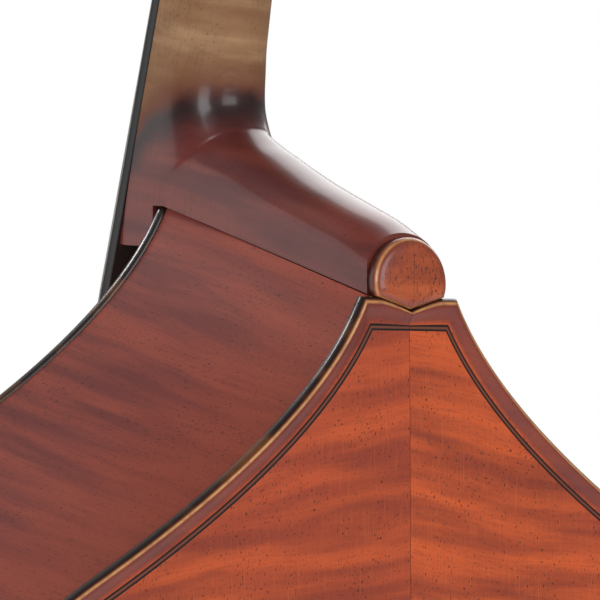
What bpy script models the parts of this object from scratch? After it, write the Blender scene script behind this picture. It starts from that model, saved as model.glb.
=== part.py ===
"""Three-quarter size double bass, modelled at its real size.

Origin: the tip of the endpin, on the floor. +Z is up, -Y is the front (belly) and +X is the treble side.
Distances down the body are given as a "drop" below the joint of neck and belly.
"""

import math

import bmesh
import bpy
import numpy as np
from mathutils import Matrix, Vector
from mathutils.bvhtree import BVHTree

# ---------------------------------------------------------------- driving dimensions (metres)
GAP = 0.0003                       # clearance between pieces that touch
BODY_LENGTH = 1.115
BODY_BOTTOM = 0.170                # height of the body's lower end above the floor
NECK_Z = BODY_BOTTOM + BODY_LENGTH  # height of the joint of neck and belly
BODY_DEPTH = 0.188                 # belly edge to back, in the lower bouts
FRONT_Y = -BODY_DEPTH / 2          # outer plane of the belly's edge
BACK_Y = BODY_DEPTH / 2            # outer plane of the flat back
BACK_TILT = math.radians(3.8)      # the back leans towards the neck above its bend
BACK_TOP_DROP = 0.0375             # the back starts this far below the belly
DEPTH_AT_NECK = 0.164
BEND_DROP = BACK_TOP_DROP + (BODY_DEPTH - DEPTH_AT_NECK) / math.tan(BACK_TILT)
BACK_THICKNESS = 0.0065
BELLY_THICKNESS = 0.007
RIB_THICKNESS = 0.0028
OVERHANG = 0.005                   # the plates stand proud of the ribs
ARCH_HEIGHT = 0.032
ARCH_MARGIN = 0.09                 # flat share of the way from the belly's edge to its spine

NECK_ANGLE = math.radians(10.3)    # the neck leans back
OVERSTAND = 0.0207                 # glue plane of the fingerboard in front of the belly's edge
FOOT_DROP = 0.0195                 # the neck's foot reaches this far down over the belly
NECK_LENGTH = 0.440                # joint to nut
STOP_DROP = 0.620                  # joint to bridge
STRING_RADII = (0.00075, 0.00100, 0.00125, 0.00150)    # G, D, A, E
STRING_NAMES = ("g", "d", "a", "e")
STRING_SIDES = (1, 1 / 3, -1 / 3, -1)                  # treble to bass, as a share of the spread
NUT_SPREAD = 0.0145
BRIDGE_SPREAD = 0.0365
TAIL_SPREAD = 0.0230

GEAR_TEETH = 20
GEAR_PITCH_RADIUS = 0.015
WORM_CENTRE_DISTANCE = 0.0195
WORM_PITCH = 2 * math.pi * GEAR_PITCH_RADIUS / GEAR_TEETH

BOARD_CURVE = 0.080                # radius of the fingerboard's top
COLOURS = {
    "varnished_maple": ((0.30, 0.075, 0.022), 0.28, 0.0),
    "varnished_spruce": ((0.33, 0.115, 0.035), 0.30, 0.0),
    "inner_wood": ((0.55, 0.40, 0.24), 0.60, 0.0),
    "ebony": ((0.018, 0.016, 0.016), 0.38, 0.0),
    "bridge_maple": ((0.58, 0.42, 0.24), 0.50, 0.0),
    "brass": ((0.62, 0.45, 0.18), 0.28, 1.0),
    "steel": ((0.56, 0.57, 0.60), 0.25, 1.0),
    "string_wire": ((0.50, 0.50, 0.52), 0.35, 1.0),
    "rubber": ((0.02, 0.02, 0.02), 0.80, 0.0),
}

for old in list(bpy.data.objects):
    bpy.data.objects.remove(old, do_unlink=True)
BASS = bpy.data.collections.new("double_bass")
CUTTERS = bpy.data.collections.new("cutters")
bpy.context.scene.collection.children.link(BASS)
bpy.context.scene.collection.children.link(CUTTERS)


# ---------------------------------------------------------------- general helpers
def material_named(name):
    """The Principled material of this name, made on first use."""
    found = bpy.data.materials.get(name)
    if found:
        return found
    colour, roughness, metallic = COLOURS[name]
    made = bpy.data.materials.new(name)
    made.use_nodes = True
    shader = made.node_tree.nodes["Principled BSDF"]
    shader.inputs["Base Color"].default_value = (*colour, 1.0)
    shader.inputs["Roughness"].default_value = roughness
    shader.inputs["Metallic"].default_value = metallic
    made.diffuse_color = (*colour, 1.0)
    return made


def add(name, data, material, parent=None):
    """Puts a mesh or curve in the bass as one named object."""
    made = bpy.data.objects.new(name, data)
    BASS.objects.link(made)
    data.materials.clear()
    data.materials.append(material_named(material))
    made.parent = parent
    return made


def smooth(mesh, angle=math.radians(35)):
    mesh.shade_smooth()
    mesh.set_sharp_from_angle(angle=angle)
    return mesh


def mesh_of(name, points, faces):
    made = bpy.data.meshes.new(name)
    made.from_pydata([tuple(p) for p in points], [], faces)
    made.update()
    return smooth(made)


def turned_outward(mesh):
    """Recalculates the faces of a closed mesh so that they point out."""
    work = bmesh.new()
    work.from_mesh(mesh)
    bmesh.ops.recalc_face_normals(work, faces=work.faces)
    work.to_mesh(mesh)
    work.free()
    return mesh


def loft(name, sections):
    """A closed solid through closed sections of equal point count, with flat ends."""
    count = len(sections[0])
    points = [p for section in sections for p in section]
    faces = []
    for row in range(len(sections) - 1):
        for i in range(count):
            j = (i + 1) % count
            a, b = row * count, (row + 1) * count
            faces.append((a + i, a + j, b + j, b + i))
    faces.append(tuple(reversed(range(count))))
    faces.append(tuple(range(len(points) - count, len(points))))
    return smooth(turned_outward(mesh_of(name, points, faces)))


def flat_plate(name, outlines, thickness):
    """A plate in the XY plane, centred on Z = 0, from one outer outline and any holes."""
    curve = bpy.data.curves.new(name, "CURVE")
    curve.dimensions = "2D"
    curve.fill_mode = "BOTH"
    curve.extrude = thickness / 2
    for outline in outlines:
        spline = curve.splines.new("POLY")
        spline.points.add(len(outline) - 1)
        for point, (x, y) in zip(spline.points, outline):
            point.co = (x, y, 0, 1)
        spline.use_cyclic_u = True
    carrier = bpy.data.objects.new(name, curve)
    BASS.objects.link(carrier)
    bpy.context.view_layer.update()
    graph = bpy.context.evaluated_depsgraph_get()
    mesh = bpy.data.meshes.new_from_object(carrier.evaluated_get(graph))
    bpy.data.objects.remove(carrier, do_unlink=True)
    bpy.data.curves.remove(curve)
    work = bmesh.new()
    work.from_mesh(mesh)
    bmesh.ops.remove_doubles(work, verts=work.verts, dist=0.00002)
    work.to_mesh(mesh)
    work.free()
    mesh.name = name
    return turned_outward(mesh)


def moved(mesh, rule):
    """Moves each vertex of a mesh by a rule from old position to new."""
    for vertex in mesh.vertices:
        vertex.co = rule(vertex.co)
    return smooth(turned_outward(mesh))


def cylinder(name, radius, depth, segments=24, top_radius=None):
    """A cylinder or cone along Z, centred on the origin."""
    work = bmesh.new()
    top = radius if top_radius is None else top_radius
    bmesh.ops.create_cone(work, cap_ends=True, segments=segments, radius1=radius, radius2=top, depth=depth)
    made = bpy.data.meshes.new(name)
    work.to_mesh(made)
    work.free()
    return smooth(made)


def block(name, low, high):
    """A box between two corners."""
    work = bmesh.new()
    bmesh.ops.create_cube(work, size=1)
    size = Vector(high) - Vector(low)
    middle = (Vector(high) + Vector(low)) / 2
    matrix = Matrix.Translation(middle) @ Matrix.Diagonal((*size, 1))
    bmesh.ops.transform(work, matrix=matrix, verts=work.verts)
    made = bpy.data.meshes.new(name)
    work.to_mesh(made)
    work.free()
    return made


def turned(name, profile, steps=28):
    """A turned solid about Z: the profile (radius, height) runs down its outer side, from axis to axis."""
    made = bpy.data.meshes.new(name)
    made.from_pydata([(r, 0, z) for r, z in profile], [(i, i + 1) for i in range(len(profile) - 1)], [])
    carrier = bpy.data.objects.new(name, made)
    screw = carrier.modifiers.new("turn", "SCREW")
    screw.axis = "Z"
    screw.steps = steps
    screw.render_steps = steps
    screw.use_merge_vertices = True
    screw.merge_threshold = 0.00002
    screw.use_smooth_shade = True
    BASS.objects.link(carrier)
    bpy.context.view_layer.update()
    graph = bpy.context.evaluated_depsgraph_get()
    mesh = bpy.data.meshes.new_from_object(carrier.evaluated_get(graph))
    bpy.data.objects.remove(carrier, do_unlink=True)
    mesh.name = name
    return smooth(turned_outward(mesh))


def bevelled(target, width, segments=2):
    modifier = target.modifiers.new("rounded edges", "BEVEL")
    modifier.width = width
    modifier.segments = segments
    modifier.limit_method = "ANGLE"
    modifier.angle_limit = math.radians(40)
    return target


def cut(target, mesh, matrix=None, operation="DIFFERENCE"):
    """Cuts a mesh from an object, or joins it on, with a Boolean modifier."""
    tool = bpy.data.objects.new(target.name + "_cutter", mesh)
    tool.hide_render = True
    tool.display_type = "WIRE"
    CUTTERS.objects.link(tool)
    if target.parent:
        tool.parent = target.parent
    tool.matrix_basis = target.matrix_basis @ (matrix or Matrix.Identity(4))
    modifier = target.modifiers.new(operation.lower(), "BOOLEAN")
    modifier.operation = operation
    modifier.solver = "EXACT"
    modifier.object = tool
    return target


def tube(name, route, radius, material, parent=None, resolution=2):
    """A round wire through the points of a route, with closed ends."""
    curve = bpy.data.curves.new(name, "CURVE")
    curve.dimensions = "3D"
    curve.bevel_depth = radius
    curve.bevel_resolution = resolution
    curve.use_fill_caps = True
    spline = curve.splines.new("POLY")
    spline.points.add(len(route) - 1)
    for point, place in zip(spline.points, route):
        point.co = (*place, 1)
    return add(name, curve, material, parent)


def bezier(start, handle_a, handle_b, end, count):
    """Points of a cubic Bezier curve, its end left out."""
    a, b, c, d = (np.array(p) for p in (start, handle_a, handle_b, end))
    ts = np.arange(count) / count
    return [(1 - t) ** 3 * a + 3 * (1 - t) ** 2 * t * b + 3 * (1 - t) * t * t * c + t ** 3 * d for t in ts]


def nearest_surface(mesh, start, direction):
    """The first point of a mesh that a ray meets."""
    work = bmesh.new()
    work.from_mesh(mesh)
    tree = BVHTree.FromBMesh(work)
    work.free()
    return tree.ray_cast(Vector(start), Vector(direction))[0]


# ---------------------------------------------------------------- outline of the plates
UPPER_TIP = (0.240, 0.418)
UPPER_TIP_INNER = (0.236, 0.427)
LOWER_TIP_INNER = (0.278, 0.668)
LOWER_TIP = (0.285, 0.679)
SHOULDER_END = 0.135               # drop where the shoulder's straight flank turns into the upper bout
SPINE_DROPS = (0.13, 0.985)        # the belly's arch keeps its full length between these drops
BUTTON_HALF_WIDTH = 0.0235
BUTTON_HEIGHT = 0.028              # the button's rise above the back's top edge
BUTTON_SHANK = 0.006               # its straight part, below the half ellipse
BUTTON_NOTCH = (0.0222, 0.0006)    # half width and drop of the notch where it meets the plate
SHOULDER_OVERHANG = 0.0015         # the belly's edge stands out less beside the neck
BELLY_RINGS = (0, ARCH_MARGIN, 0.30, 0.52, 0.76, 1)    # shares of the way from edge to spine
F_EYES = ((0.082, 0.545, 0.0105), (0.142, 0.700, 0.0145))  # x, drop and radius of an f-hole's eyes
F_STEM_TOP = (0.0935, 0.540)       # x and drop of the stem's upper end
F_STEM_REACH = (0.035, 0.168)      # from there to its lower end
F_STEM_SWING = 0.0125              # sideways bend of the stem's S
F_STEM_HALF = (0.0028, 0.0062)     # half width at its ends, and what its middle adds
RIB_POINTS = {"upper": 22, "waist": 14, "lower": 20}
BELLY_INNER_Y = FRONT_Y + BELLY_THICKNESS + GAP


def shoulder_width(drop):
    """Half width of the plates across the shoulder, as a cubic in the drop."""
    return 0.0301 + 0.476 * drop + 6.79 * drop ** 2 - 7.99 * drop ** 3


def half_outline():
    """Three lists of (half width, drop): upper bout, waist and lower bout, each with both its ends."""
    upper = [np.array((shoulder_width(s), s)) for s in np.linspace(0, SHOULDER_END, 10)[:-1]]
    bend = (shoulder_width(SHOULDER_END), SHOULDER_END)
    upper += bezier(bend, (0.238, 0.1565), (0.262, 0.176), (0.262, 0.215), 5)
    upper += bezier((0.262, 0.215), (0.262, 0.290), (0.2235, 0.345), (0.2235, 0.388), 5)
    upper += bezier((0.2235, 0.388), (0.2235, 0.400), (0.231, 0.410), UPPER_TIP, 3)
    waist = bezier(UPPER_TIP_INNER, (0.205, 0.425), (0.183, 0.465), (0.183, 0.525), 6)
    waist += bezier((0.183, 0.525), (0.183, 0.600), (0.215, 0.655), LOWER_TIP_INNER, 6)
    lower = bezier(LOWER_TIP, (0.275, 0.691), (0.268, 0.712), (0.268, 0.733), 3)
    lower += bezier((0.268, 0.733), (0.268, 0.790), (0.332, 0.820), (0.332, 0.885), 6)
    lower += bezier((0.332, 0.885), (0.332, 1.020), (0.200, BODY_LENGTH), (0, BODY_LENGTH), 9)
    return (upper + [np.array(UPPER_TIP)], waist + [np.array(LOWER_TIP_INNER)],
            lower + [np.array((0.0, BODY_LENGTH))])


def back_shear(drop):
    """How much lower the back's outline lies than the belly's, fading out towards the corners."""
    share = min(max((drop - 0.14) / 0.28, 0), 1)
    return BACK_TOP_DROP * (1 - share * share * (3 - 2 * share))


def sheared(points):
    """The belly's outline lowered to the back's."""
    return [np.array((x, s + back_shear(s))) for x, s in points]


def back_plane(drop):
    """Y of the back's outer face at a drop."""
    return BACK_Y - math.tan(BACK_TILT) * max(0, BEND_DROP - drop)


def inset(points, distance):
    """The polyline moved inward, towards the body's middle."""
    rows = np.array(points)
    way = np.gradient(rows, axis=0)
    way /= np.linalg.norm(way, axis=1)[:, None]
    inward = np.stack([-way[:, 1], way[:, 0]], axis=1)
    return rows + inward * distance


def clipped(points, corner, direction):
    """The part of a polyline on its own side of a line through a corner, less half a gap."""
    rows = np.array(points)
    normal = np.array((-direction[1], direction[0]))
    normal *= np.sign((rows[len(rows) // 2] - corner) @ normal)
    side = (rows - corner) @ normal - GAP
    kept = []
    for i, point in enumerate(rows):
        if side[i] >= 0:
            kept.append(point)
        if i + 1 < len(rows) and (side[i] >= 0) != (side[i + 1] >= 0):
            kept.append(point + (rows[i + 1] - point) * side[i] / (side[i] - side[i + 1]))
    return np.array(kept)


def from_top(line, drop):
    """The polyline with its first point moved along its own direction to a drop."""
    step = line[0] - line[1]
    line[0] = line[1] + step * (drop - line[1][1]) / step[1]
    return line


def mitre(first, second):
    """The corner between two outline stretches, and the direction that halves it."""
    arms = [first[-3] - first[-1], second[2] - second[0]]
    total = sum(arm / np.linalg.norm(arm) for arm in arms)
    return (first[-1] + second[0]) / 2, total / np.linalg.norm(total)


def resampled(points, count):
    """The polyline with its points spaced evenly."""
    rows = np.array(points)
    along = np.concatenate([[0], np.cumsum(np.linalg.norm(np.diff(rows, axis=0), axis=1))])
    places = np.linspace(0, along[-1], count)
    return np.stack([np.interp(places, along, rows[:, k]) for k in (0, 1)], axis=1)


UPPER, WAIST, LOWER = half_outline()
BACK_HALF = sheared(UPPER + WAIST + LOWER)


def button_points():
    """Right half of the back's button, from its top to the notch where it meets the plate."""
    points = []
    for angle in np.linspace(0, math.radians(100), 8):
        x = BUTTON_HALF_WIDTH * math.sin(angle)
        rise = BUTTON_SHANK + (BUTTON_HEIGHT - BUTTON_SHANK) * math.cos(angle)
        points.append(np.array((x, BACK_TOP_DROP - rise)))
    return points + [np.array((BUTTON_NOTCH[0], BACK_TOP_DROP + BUTTON_NOTCH[1]))]


# ---------------------------------------------------------------- back, belly and ribs
def make_back(side, label):
    """Half of the flat back, bent once, with its half of the button."""
    outline = [(GAP / 2, BACK_TOP_DROP - BUTTON_HEIGHT)] + [tuple(p) for p in button_points()[1:]]
    outline += [(x, s) for x, s in BACK_HALF[:-1]] + [(GAP / 2, BODY_LENGTH)]
    plate = flat_plate("back_" + label, [outline], BACK_THICKNESS)
    work = bmesh.new()
    work.from_mesh(plate)
    bmesh.ops.bisect_plane(work, geom=work.verts[:] + work.edges[:] + work.faces[:],
                           plane_co=(0, BEND_DROP, 0), plane_no=(0, 1, 0))
    work.to_mesh(plate)
    work.free()

    def place(p):
        return (side * p.x, back_plane(p.y) - BACK_THICKNESS / 2 + p.z, NECK_Z - p.y)
    return add("back_" + label, moved(plate, place), "varnished_maple")


def spine_point(point):
    """The place on the centre joint that an outline point's section runs to."""
    return np.array((GAP / 2, min(max(point[1], SPINE_DROPS[0]), SPINE_DROPS[1])))


def arch(share):
    """Height of the belly's arching, as a share of the way from edge to spine."""
    rise = min(max((share - ARCH_MARGIN) / (1 - ARCH_MARGIN), 0), 1)
    return (1 - math.cos(math.pi * rise)) / 2


def arch_top(drop):
    """The spine's height above the edge, falling away at both ends."""
    ends = min(max(drop / 0.32, 0), 1), min(max((BODY_LENGTH - drop) / 0.30, 0), 1)
    return ARCH_HEIGHT * math.sin(math.pi / 2 * ends[0]) * math.sin(math.pi / 2 * ends[1])


def tucked(points):
    """The belly's shoulder: drawn in beside the neck, back to the full overhang lower down."""
    rows = np.array(points)
    fade = np.clip((rows[:, 1] - 0.15) / 0.15, 0, 1)
    share = 1 - fade * fade * (3 - 2 * fade)
    inward = inset(points, 1) - rows
    return [tuple(row) for row in rows + inward * ((OVERHANG - SHOULDER_OVERHANG) * share)[:, None]]


def make_belly(side, label):
    """A belly half: rings from the outline to the spine, arched, with the centre joint flat."""
    outline = [(GAP / 2, 0), (UPPER[0][0] / 2, 0)]
    outline += [(max(x, GAP / 2), s) for x, s in tucked(UPPER) + WAIST + LOWER]
    count = len(outline)
    points = []
    for depth in (0, BELLY_THICKNESS):
        for share in BELLY_RINGS:
            for point in outline:
                spine = spine_point(point)
                x, drop = np.array(point) + (spine - point) * share
                points.append((side * x, FRONT_Y + depth - arch(share) * arch_top(drop), NECK_Z - drop))
    layer = count * len(BELLY_RINGS)
    faces = []
    for ring in range(len(BELLY_RINGS) - 1):
        for i in range(count - 1):
            a, b = ring * count + i, (ring + 1) * count + i
            faces.append((a, b, b + 1, a + 1))
            faces.append((layer + a, layer + a + 1, layer + b + 1, layer + b))
    rim = list(range(count)) + [ring * count + count - 1 for ring in range(1, len(BELLY_RINGS))]
    spine_row = list(range((len(BELLY_RINGS) - 1) * count, len(BELLY_RINGS) * count))
    rim += spine_row[::-1][1:] + [ring * count for ring in range(len(BELLY_RINGS) - 2, 0, -1)]
    for i, a in enumerate(rim):
        b = rim[(i + 1) % len(rim)]
        faces.append((a, b, layer + b, layer + a))
    mesh = mesh_of("belly_" + label, points, faces)
    work = bmesh.new()
    work.from_mesh(mesh)
    bmesh.ops.remove_doubles(work, verts=work.verts, dist=0.00002)
    bmesh.ops.dissolve_degenerate(work, edges=work.edges, dist=0.00001)
    work.to_mesh(mesh)
    work.free()
    return add("belly_" + label, smooth(turned_outward(mesh)), "varnished_spruce")


def cut_f_hole(belly, side):
    """An f-hole: two round eyes and a swelling stem between them."""
    upright = Matrix.Rotation(math.pi / 2, 4, "X")
    for x, drop, radius in F_EYES:
        eye = cylinder("f_eye", radius, 0.08, 16)
        cut(belly, eye, Matrix.Translation((side * x, FRONT_Y - 0.01, NECK_Z - drop)) @ upright)
    inner, outer = [], []
    for t in np.linspace(0, 1, 9):
        x = F_STEM_TOP[0] + F_STEM_REACH[0] * t + F_STEM_SWING * math.sin(2 * math.pi * t)
        drop = F_STEM_TOP[1] + F_STEM_REACH[1] * t
        half = F_STEM_HALF[0] + F_STEM_HALF[1] * math.sin(math.pi * t)
        inner.append((x - half, drop))
        outer.append((x + half, drop))
    stem = flat_plate("f_stem", [inner + outer[::-1]], 0.08)
    stem = moved(stem, lambda p: (side * p.x, FRONT_Y - 0.01 + p.z, NECK_Z - p.y))
    cut(belly, stem)


def rib_line(points, distance, cuts, count):
    """The line of a rib's face: inset from the outline, cut at the mitres."""
    line = inset(points, distance)
    if points[0][0] < 1.5 * BUTTON_HALF_WIDTH:     # only the upper bout starts at the neck
        line = from_top(line, points[0][1] + GAP)
    for corner, direction in cuts:
        line = clipped(line, corner, direction)
    return resampled(line, count)


def rib_faces(points, cuts, count, distances):
    """Front and back lines of a rib's faces, at each distance in from the outline."""
    front = [rib_line(points, d, cuts, count) for d in distances]
    lowered = [(np.array((c[0], c[1] + back_shear(c[1]))), way) for c, way in cuts]
    return front, [rib_line(sheared(points), d, lowered, count) for d in distances]


def back_inner_y(drop):
    """Y just clear of the back's inner face at a drop."""
    return back_plane(drop) - BACK_THICKNESS - GAP


def make_rib(name, side, points, cuts, count):
    """A rib: the bent strip between the belly and the back."""
    front, back = rib_faces(points, cuts, count, (OVERHANG, OVERHANG + RIB_THICKNESS))
    sections = []
    for i in range(count):
        fronts = [(side * max(x, GAP / 2), BELLY_INNER_Y, NECK_Z - s) for x, s in (front[0][i], front[1][i])]
        backs = [(side * max(x, GAP / 2), back_inner_y(s), NECK_Z - s) for x, s in (back[1][i], back[0][i])]
        sections.append(fronts + backs)
    return add(name, loft(name, sections), "varnished_maple")


UPPER_MITRE = mitre(UPPER, WAIST)
LOWER_MITRE = mitre(WAIST, LOWER)


def make_ribs(side, label):
    """One side's three ribs; returns the lower one."""
    make_rib("rib_upper_" + label, side, UPPER, [UPPER_MITRE], RIB_POINTS["upper"])
    make_rib("rib_waist_" + label, side, WAIST, [UPPER_MITRE, LOWER_MITRE], RIB_POINTS["waist"])
    return make_rib("rib_lower_" + label, side, LOWER, [LOWER_MITRE], RIB_POINTS["lower"])


# ---------------------------------------------------------------- inside the body
BLOCK_GAP = 0.0018                 # room for the glue line and for the facets of the ribs
PLUG_RADIUS = 0.0118
PLUG_CLEARANCE = 0.0004
ROD_RADIUS = 0.005
BORE_RADIUS = 0.0057
BRACES = (
    # name, drop, half length, width, height
    ("back_brace_upper", 0.215, 0.205, 0.024, 0.020),
    ("back_brace_bend", 0.395, 0.188, 0.030, 0.022),
    ("back_brace_post", 0.655, 0.180, 0.070, 0.018),
    ("back_brace_lower", 0.890, 0.290, 0.026, 0.020),
)
BRACE_TAPER = 0.05                 # length over which a brace thins towards each end
BRACE_END = 0.3                    # its height there, as a share
BAR_DROPS = (0.27, 0.90)
BAR_EDGES = (-0.056, -0.038)       # the bass bar's two sides
POST_X = 0.060
POST_RADIUS = 0.009                # the sound post


def prism(name, front, back):
    """A solid between a polygon on the belly's side and one on the back's, as (x, y, drop) corners."""
    sections = [[(x, y, NECK_Z - drop) for x, y, drop in polygon] for polygon in (front, back)]
    return loft(name, sections)


def make_corner_block(name, side, first, second, corner):
    """A block in the angle between two ribs."""
    distance = OVERHANG + RIB_THICKNESS + BLOCK_GAP
    cuts = [corner]
    fronts, backs = [], []
    for points, part in ((first, slice(-5, None)), (second, slice(1, 5))):
        front, back = rib_faces(points, cuts, RIB_POINTS["upper"], (distance,))
        fronts += list(front[0][part])
        backs += list(back[0][part])
    back_y = back_inner_y(min(s for _, s in backs)) - GAP
    front_corners = [(side * x, BELLY_INNER_Y + GAP, s) for x, s in fronts]
    return add(name, prism(name, front_corners, [(side * x, back_y, s) for x, s in backs]), "inner_wood")


def make_neck_block():
    """The block under the heel, between the upper ribs."""
    half = ((0.0200, 0.0006), (0.0360, 0.034), (0.0400, 0.050), (0.0400, 0.115))
    ring = list(half) + [(-x, s) for x, s in half[::-1]]
    front = [(x, BELLY_INNER_Y + GAP, s) for x, s in ring]
    back = [(x, back_inner_y(s + BACK_TOP_DROP) - GAP, s + BACK_TOP_DROP) for x, s in ring]
    return add("neck_block", prism("neck_block", front, back), "inner_wood")


def plug_hole(target):
    """Bores the hole for the endpin's plug."""
    hole = cylinder("plug_hole", PLUG_RADIUS + PLUG_CLEARANCE, 0.20, 24)
    return cut(target, hole, Matrix.Translation((0, 0, BODY_BOTTOM + 0.03)))


def make_end_block():
    """The block that the endpin's plug sits in, between the lower ribs."""
    half = ((0.052, BODY_LENGTH - 0.072), (0.052, BODY_LENGTH - 0.0145), (0.026, BODY_LENGTH - 0.0098))
    ring = list(half) + [(0, BODY_LENGTH - 0.0086)] + [(-x, s) for x, s in half[::-1]]
    front = [(x, BELLY_INNER_Y + GAP, s) for x, s in ring]
    back = [(x, BACK_Y - BACK_THICKNESS - 2 * GAP, s) for x, s in ring]
    return plug_hole(add("end_block", prism("end_block", front, back), "inner_wood"))


def make_brace(name, drop, half_length, width, height):
    """A bar glued across the back, thinned at both ends."""
    sections = []
    full = half_length - BRACE_TAPER
    for x, rise in ((-half_length, BRACE_END), (-full, 1), (full, 1), (half_length, BRACE_END)):
        corners = []
        for place in (drop - width / 2, drop + width / 2):
            low = back_inner_y(drop - width / 2 if "bend" in name else place)
            corners.append([(x, low, NECK_Z - place), (x, low - height * rise, NECK_Z - place)])
        sections.append([corners[0][0], corners[0][1], corners[1][1], corners[1][0]])
    return add(name, loft(name, sections), "inner_wood")


def inner_belly_y(belly, x, drop, reach=0.009):
    """Y just clear of the belly's inner face, around a place."""
    return GAP + max(nearest_surface(belly.data, (x + s * reach, 0, NECK_Z - drop + t * reach), (0, -1, 0)).y
                     for s in (-1, 0, 1) for t in (-1, 0, 1))


def make_bass_bar(belly):
    """The long bar under the bass side of the belly, following its arch."""
    (first, last), edges = BAR_DROPS, BAR_EDGES
    sections = []
    for drop in np.linspace(first, last, 13):
        height = 0.006 + 0.016 * math.sin(math.pi * (drop - first) / (last - first))
        tops = [inner_belly_y(belly, x, drop) for x in edges]
        sections.append([(edges[0], tops[0], NECK_Z - drop), (edges[1], tops[1], NECK_Z - drop),
                         (edges[1] - 0.004, tops[1] + height, NECK_Z - drop),
                         (edges[0] + 0.004, tops[0] + height, NECK_Z - drop)])
    return add("bass_bar", loft("bass_bar", sections), "inner_wood")


def make_sound_post(belly):
    """The loose upright between the belly and the back, behind the bridge's treble foot."""
    _, drop, _, _, height = BRACES[2]
    front = inner_belly_y(belly, POST_X, drop, POST_RADIUS)
    back = BACK_Y - BACK_THICKNESS - GAP - height - GAP
    post = add("sound_post", cylinder("sound_post", POST_RADIUS, back - front, 16), "inner_wood")
    post.rotation_euler = (math.pi / 2, 0, 0)
    post.location = (POST_X, (front + back) / 2, NECK_Z - drop)
    return post


# ---------------------------------------------------------------- endpin
FLANGE_TOP = BODY_BOTTOM - 0.0025
COLLAR_TOP = FLANGE_TOP - 0.0078
COLLAR_BOTTOM = COLLAR_TOP - 0.016
SCREW_Z = (COLLAR_TOP + COLLAR_BOTTOM) / 2
ROD_LENGTH = 0.470
ROD_LOW = 0.0125                   # the rod's lower end, inside the rubber tip
SCREW_LENGTH = 0.0225
TIP_PROFILE = (
    (0, 0.0122), (0.0053, 0.0122), (0.0053, 0.044), (0.0095, 0.044), (0.0105, 0.042), (0.0125, 0.018),
    (0.0155, 0.012), (0.0165, 0.006), (0.0160, 0.001), (0.0150, 0), (0, 0),
)
SCREW_PROFILE = (
    (0, SCREW_LENGTH), (0.0028, SCREW_LENGTH), (0.0030, SCREW_LENGTH - 0.0005), (0.0030, 0.0130),
    (0.0050, 0.0128), (0.0066, 0.0118), (0.0074, 0.0105), (0.0074, 0.0015), (0.0064, 0.0005), (0, 0),
)


def ring_solid(name, profile, steps=28):
    """A turned solid with a bore: the profile (radius, height) is a closed loop off the axis."""
    sections = []
    for step in range(steps):
        angle = 2 * math.pi * step / steps
        sections.append([(r * math.cos(angle), r * math.sin(angle), z) for r, z in profile])
    count = len(profile)
    points = [p for section in sections for p in section]
    faces = []
    for row in range(steps):
        a, b = row * count, (row + 1) % steps * count
        faces += [(a + i, a + (i + 1) % count, b + (i + 1) % count, b + i) for i in range(count)]
    return smooth(turned_outward(mesh_of(name, points, faces)))


def make_endpin():
    """The plug, its collar and thumbscrew, and the sliding rod with its rubber tip."""
    plug_top = BODY_BOTTOM + 0.070
    add("end_plug", ring_solid("end_plug", [
        (BORE_RADIUS, plug_top), (PLUG_RADIUS - 0.001, plug_top), (PLUG_RADIUS, BODY_BOTTOM + 0.005),
        (PLUG_RADIUS, FLANGE_TOP), (0.0185, FLANGE_TOP), (0.0195, FLANGE_TOP - 0.0015),
        (0.0195, COLLAR_TOP + 0.0015), (0.0180, COLLAR_TOP + GAP), (BORE_RADIUS, COLLAR_TOP + GAP),
    ]), "ebony")
    collar = add("end_collar", ring_solid("end_collar", [
        (BORE_RADIUS, COLLAR_TOP), (0.0135, COLLAR_TOP), (0.0142, COLLAR_TOP - 0.001),
        (0.0142, COLLAR_BOTTOM + 0.001), (0.0135, COLLAR_BOTTOM), (BORE_RADIUS, COLLAR_BOTTOM)]), "steel")
    forward = Matrix.Translation((0, -0.014, SCREW_Z)) @ Matrix.Rotation(math.pi / 2, 4, "X")
    cut(collar, cylinder("screw_hole", 0.0034, 0.02, 16), forward)
    rod = add("endpin_rod", cylinder("endpin_rod", ROD_RADIUS, ROD_LENGTH, 24), "steel")
    rod.location = (0, 0, ROD_LOW + ROD_LENGTH / 2)
    add("rubber_tip", turned("rubber_tip", TIP_PROFILE, 28), "rubber")
    screw = add("endpin_thumbscrew", turned("endpin_thumbscrew", SCREW_PROFILE, 20), "steel")
    screw.rotation_euler = (-math.pi / 2, 0, 0)
    screw.location = (0, -ROD_RADIUS - GAP - SCREW_LENGTH, SCREW_Z)


# ---------------------------------------------------------------- neck
SIN, COS = math.sin(NECK_ANGLE), math.cos(NECK_ANGLE)
NECK_ROOT = Vector((0, FRONT_Y - OVERSTAND, NECK_Z))
BOARD_END = -0.430                 # the fingerboard's free end, along the neck
BOARD_HALF_NUT = 0.0210
BOARD_HALF_END = 0.0385
BOARD_SIDE = 0.0056                # thickness of the board's straight side
NUT_LENGTH = 0.008
NUT_RISE = 0.0010                  # the nut stands this far above the board
JOINT_SLANT = BACK_TOP_DROP / (back_inner_y(BACK_TOP_DROP) - BELLY_INNER_Y)    # slope of the body's top


def neck_frame():
    """An empty on the glue plane at the joint: +Z runs up the neck and +Y towards its back."""
    made = bpy.data.objects.new("neck_frame", None)
    BASS.objects.link(made)
    made.location = NECK_ROOT
    made.rotation_euler = (-NECK_ANGLE, 0, 0)
    return made


def on_neck(along, x=0.0, depth=0.0):
    """World place of a point along the neck, sideways, and behind the glue plane."""
    return NECK_ROOT + Vector((x, along * SIN + depth * COS, along * COS - depth * SIN))


def board_half(along):
    """Half width of the fingerboard at a place along the neck."""
    share = (NECK_LENGTH - along) / (NECK_LENGTH - BOARD_END)
    return BOARD_HALF_NUT + (BOARD_HALF_END - BOARD_HALF_NUT) * share


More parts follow.
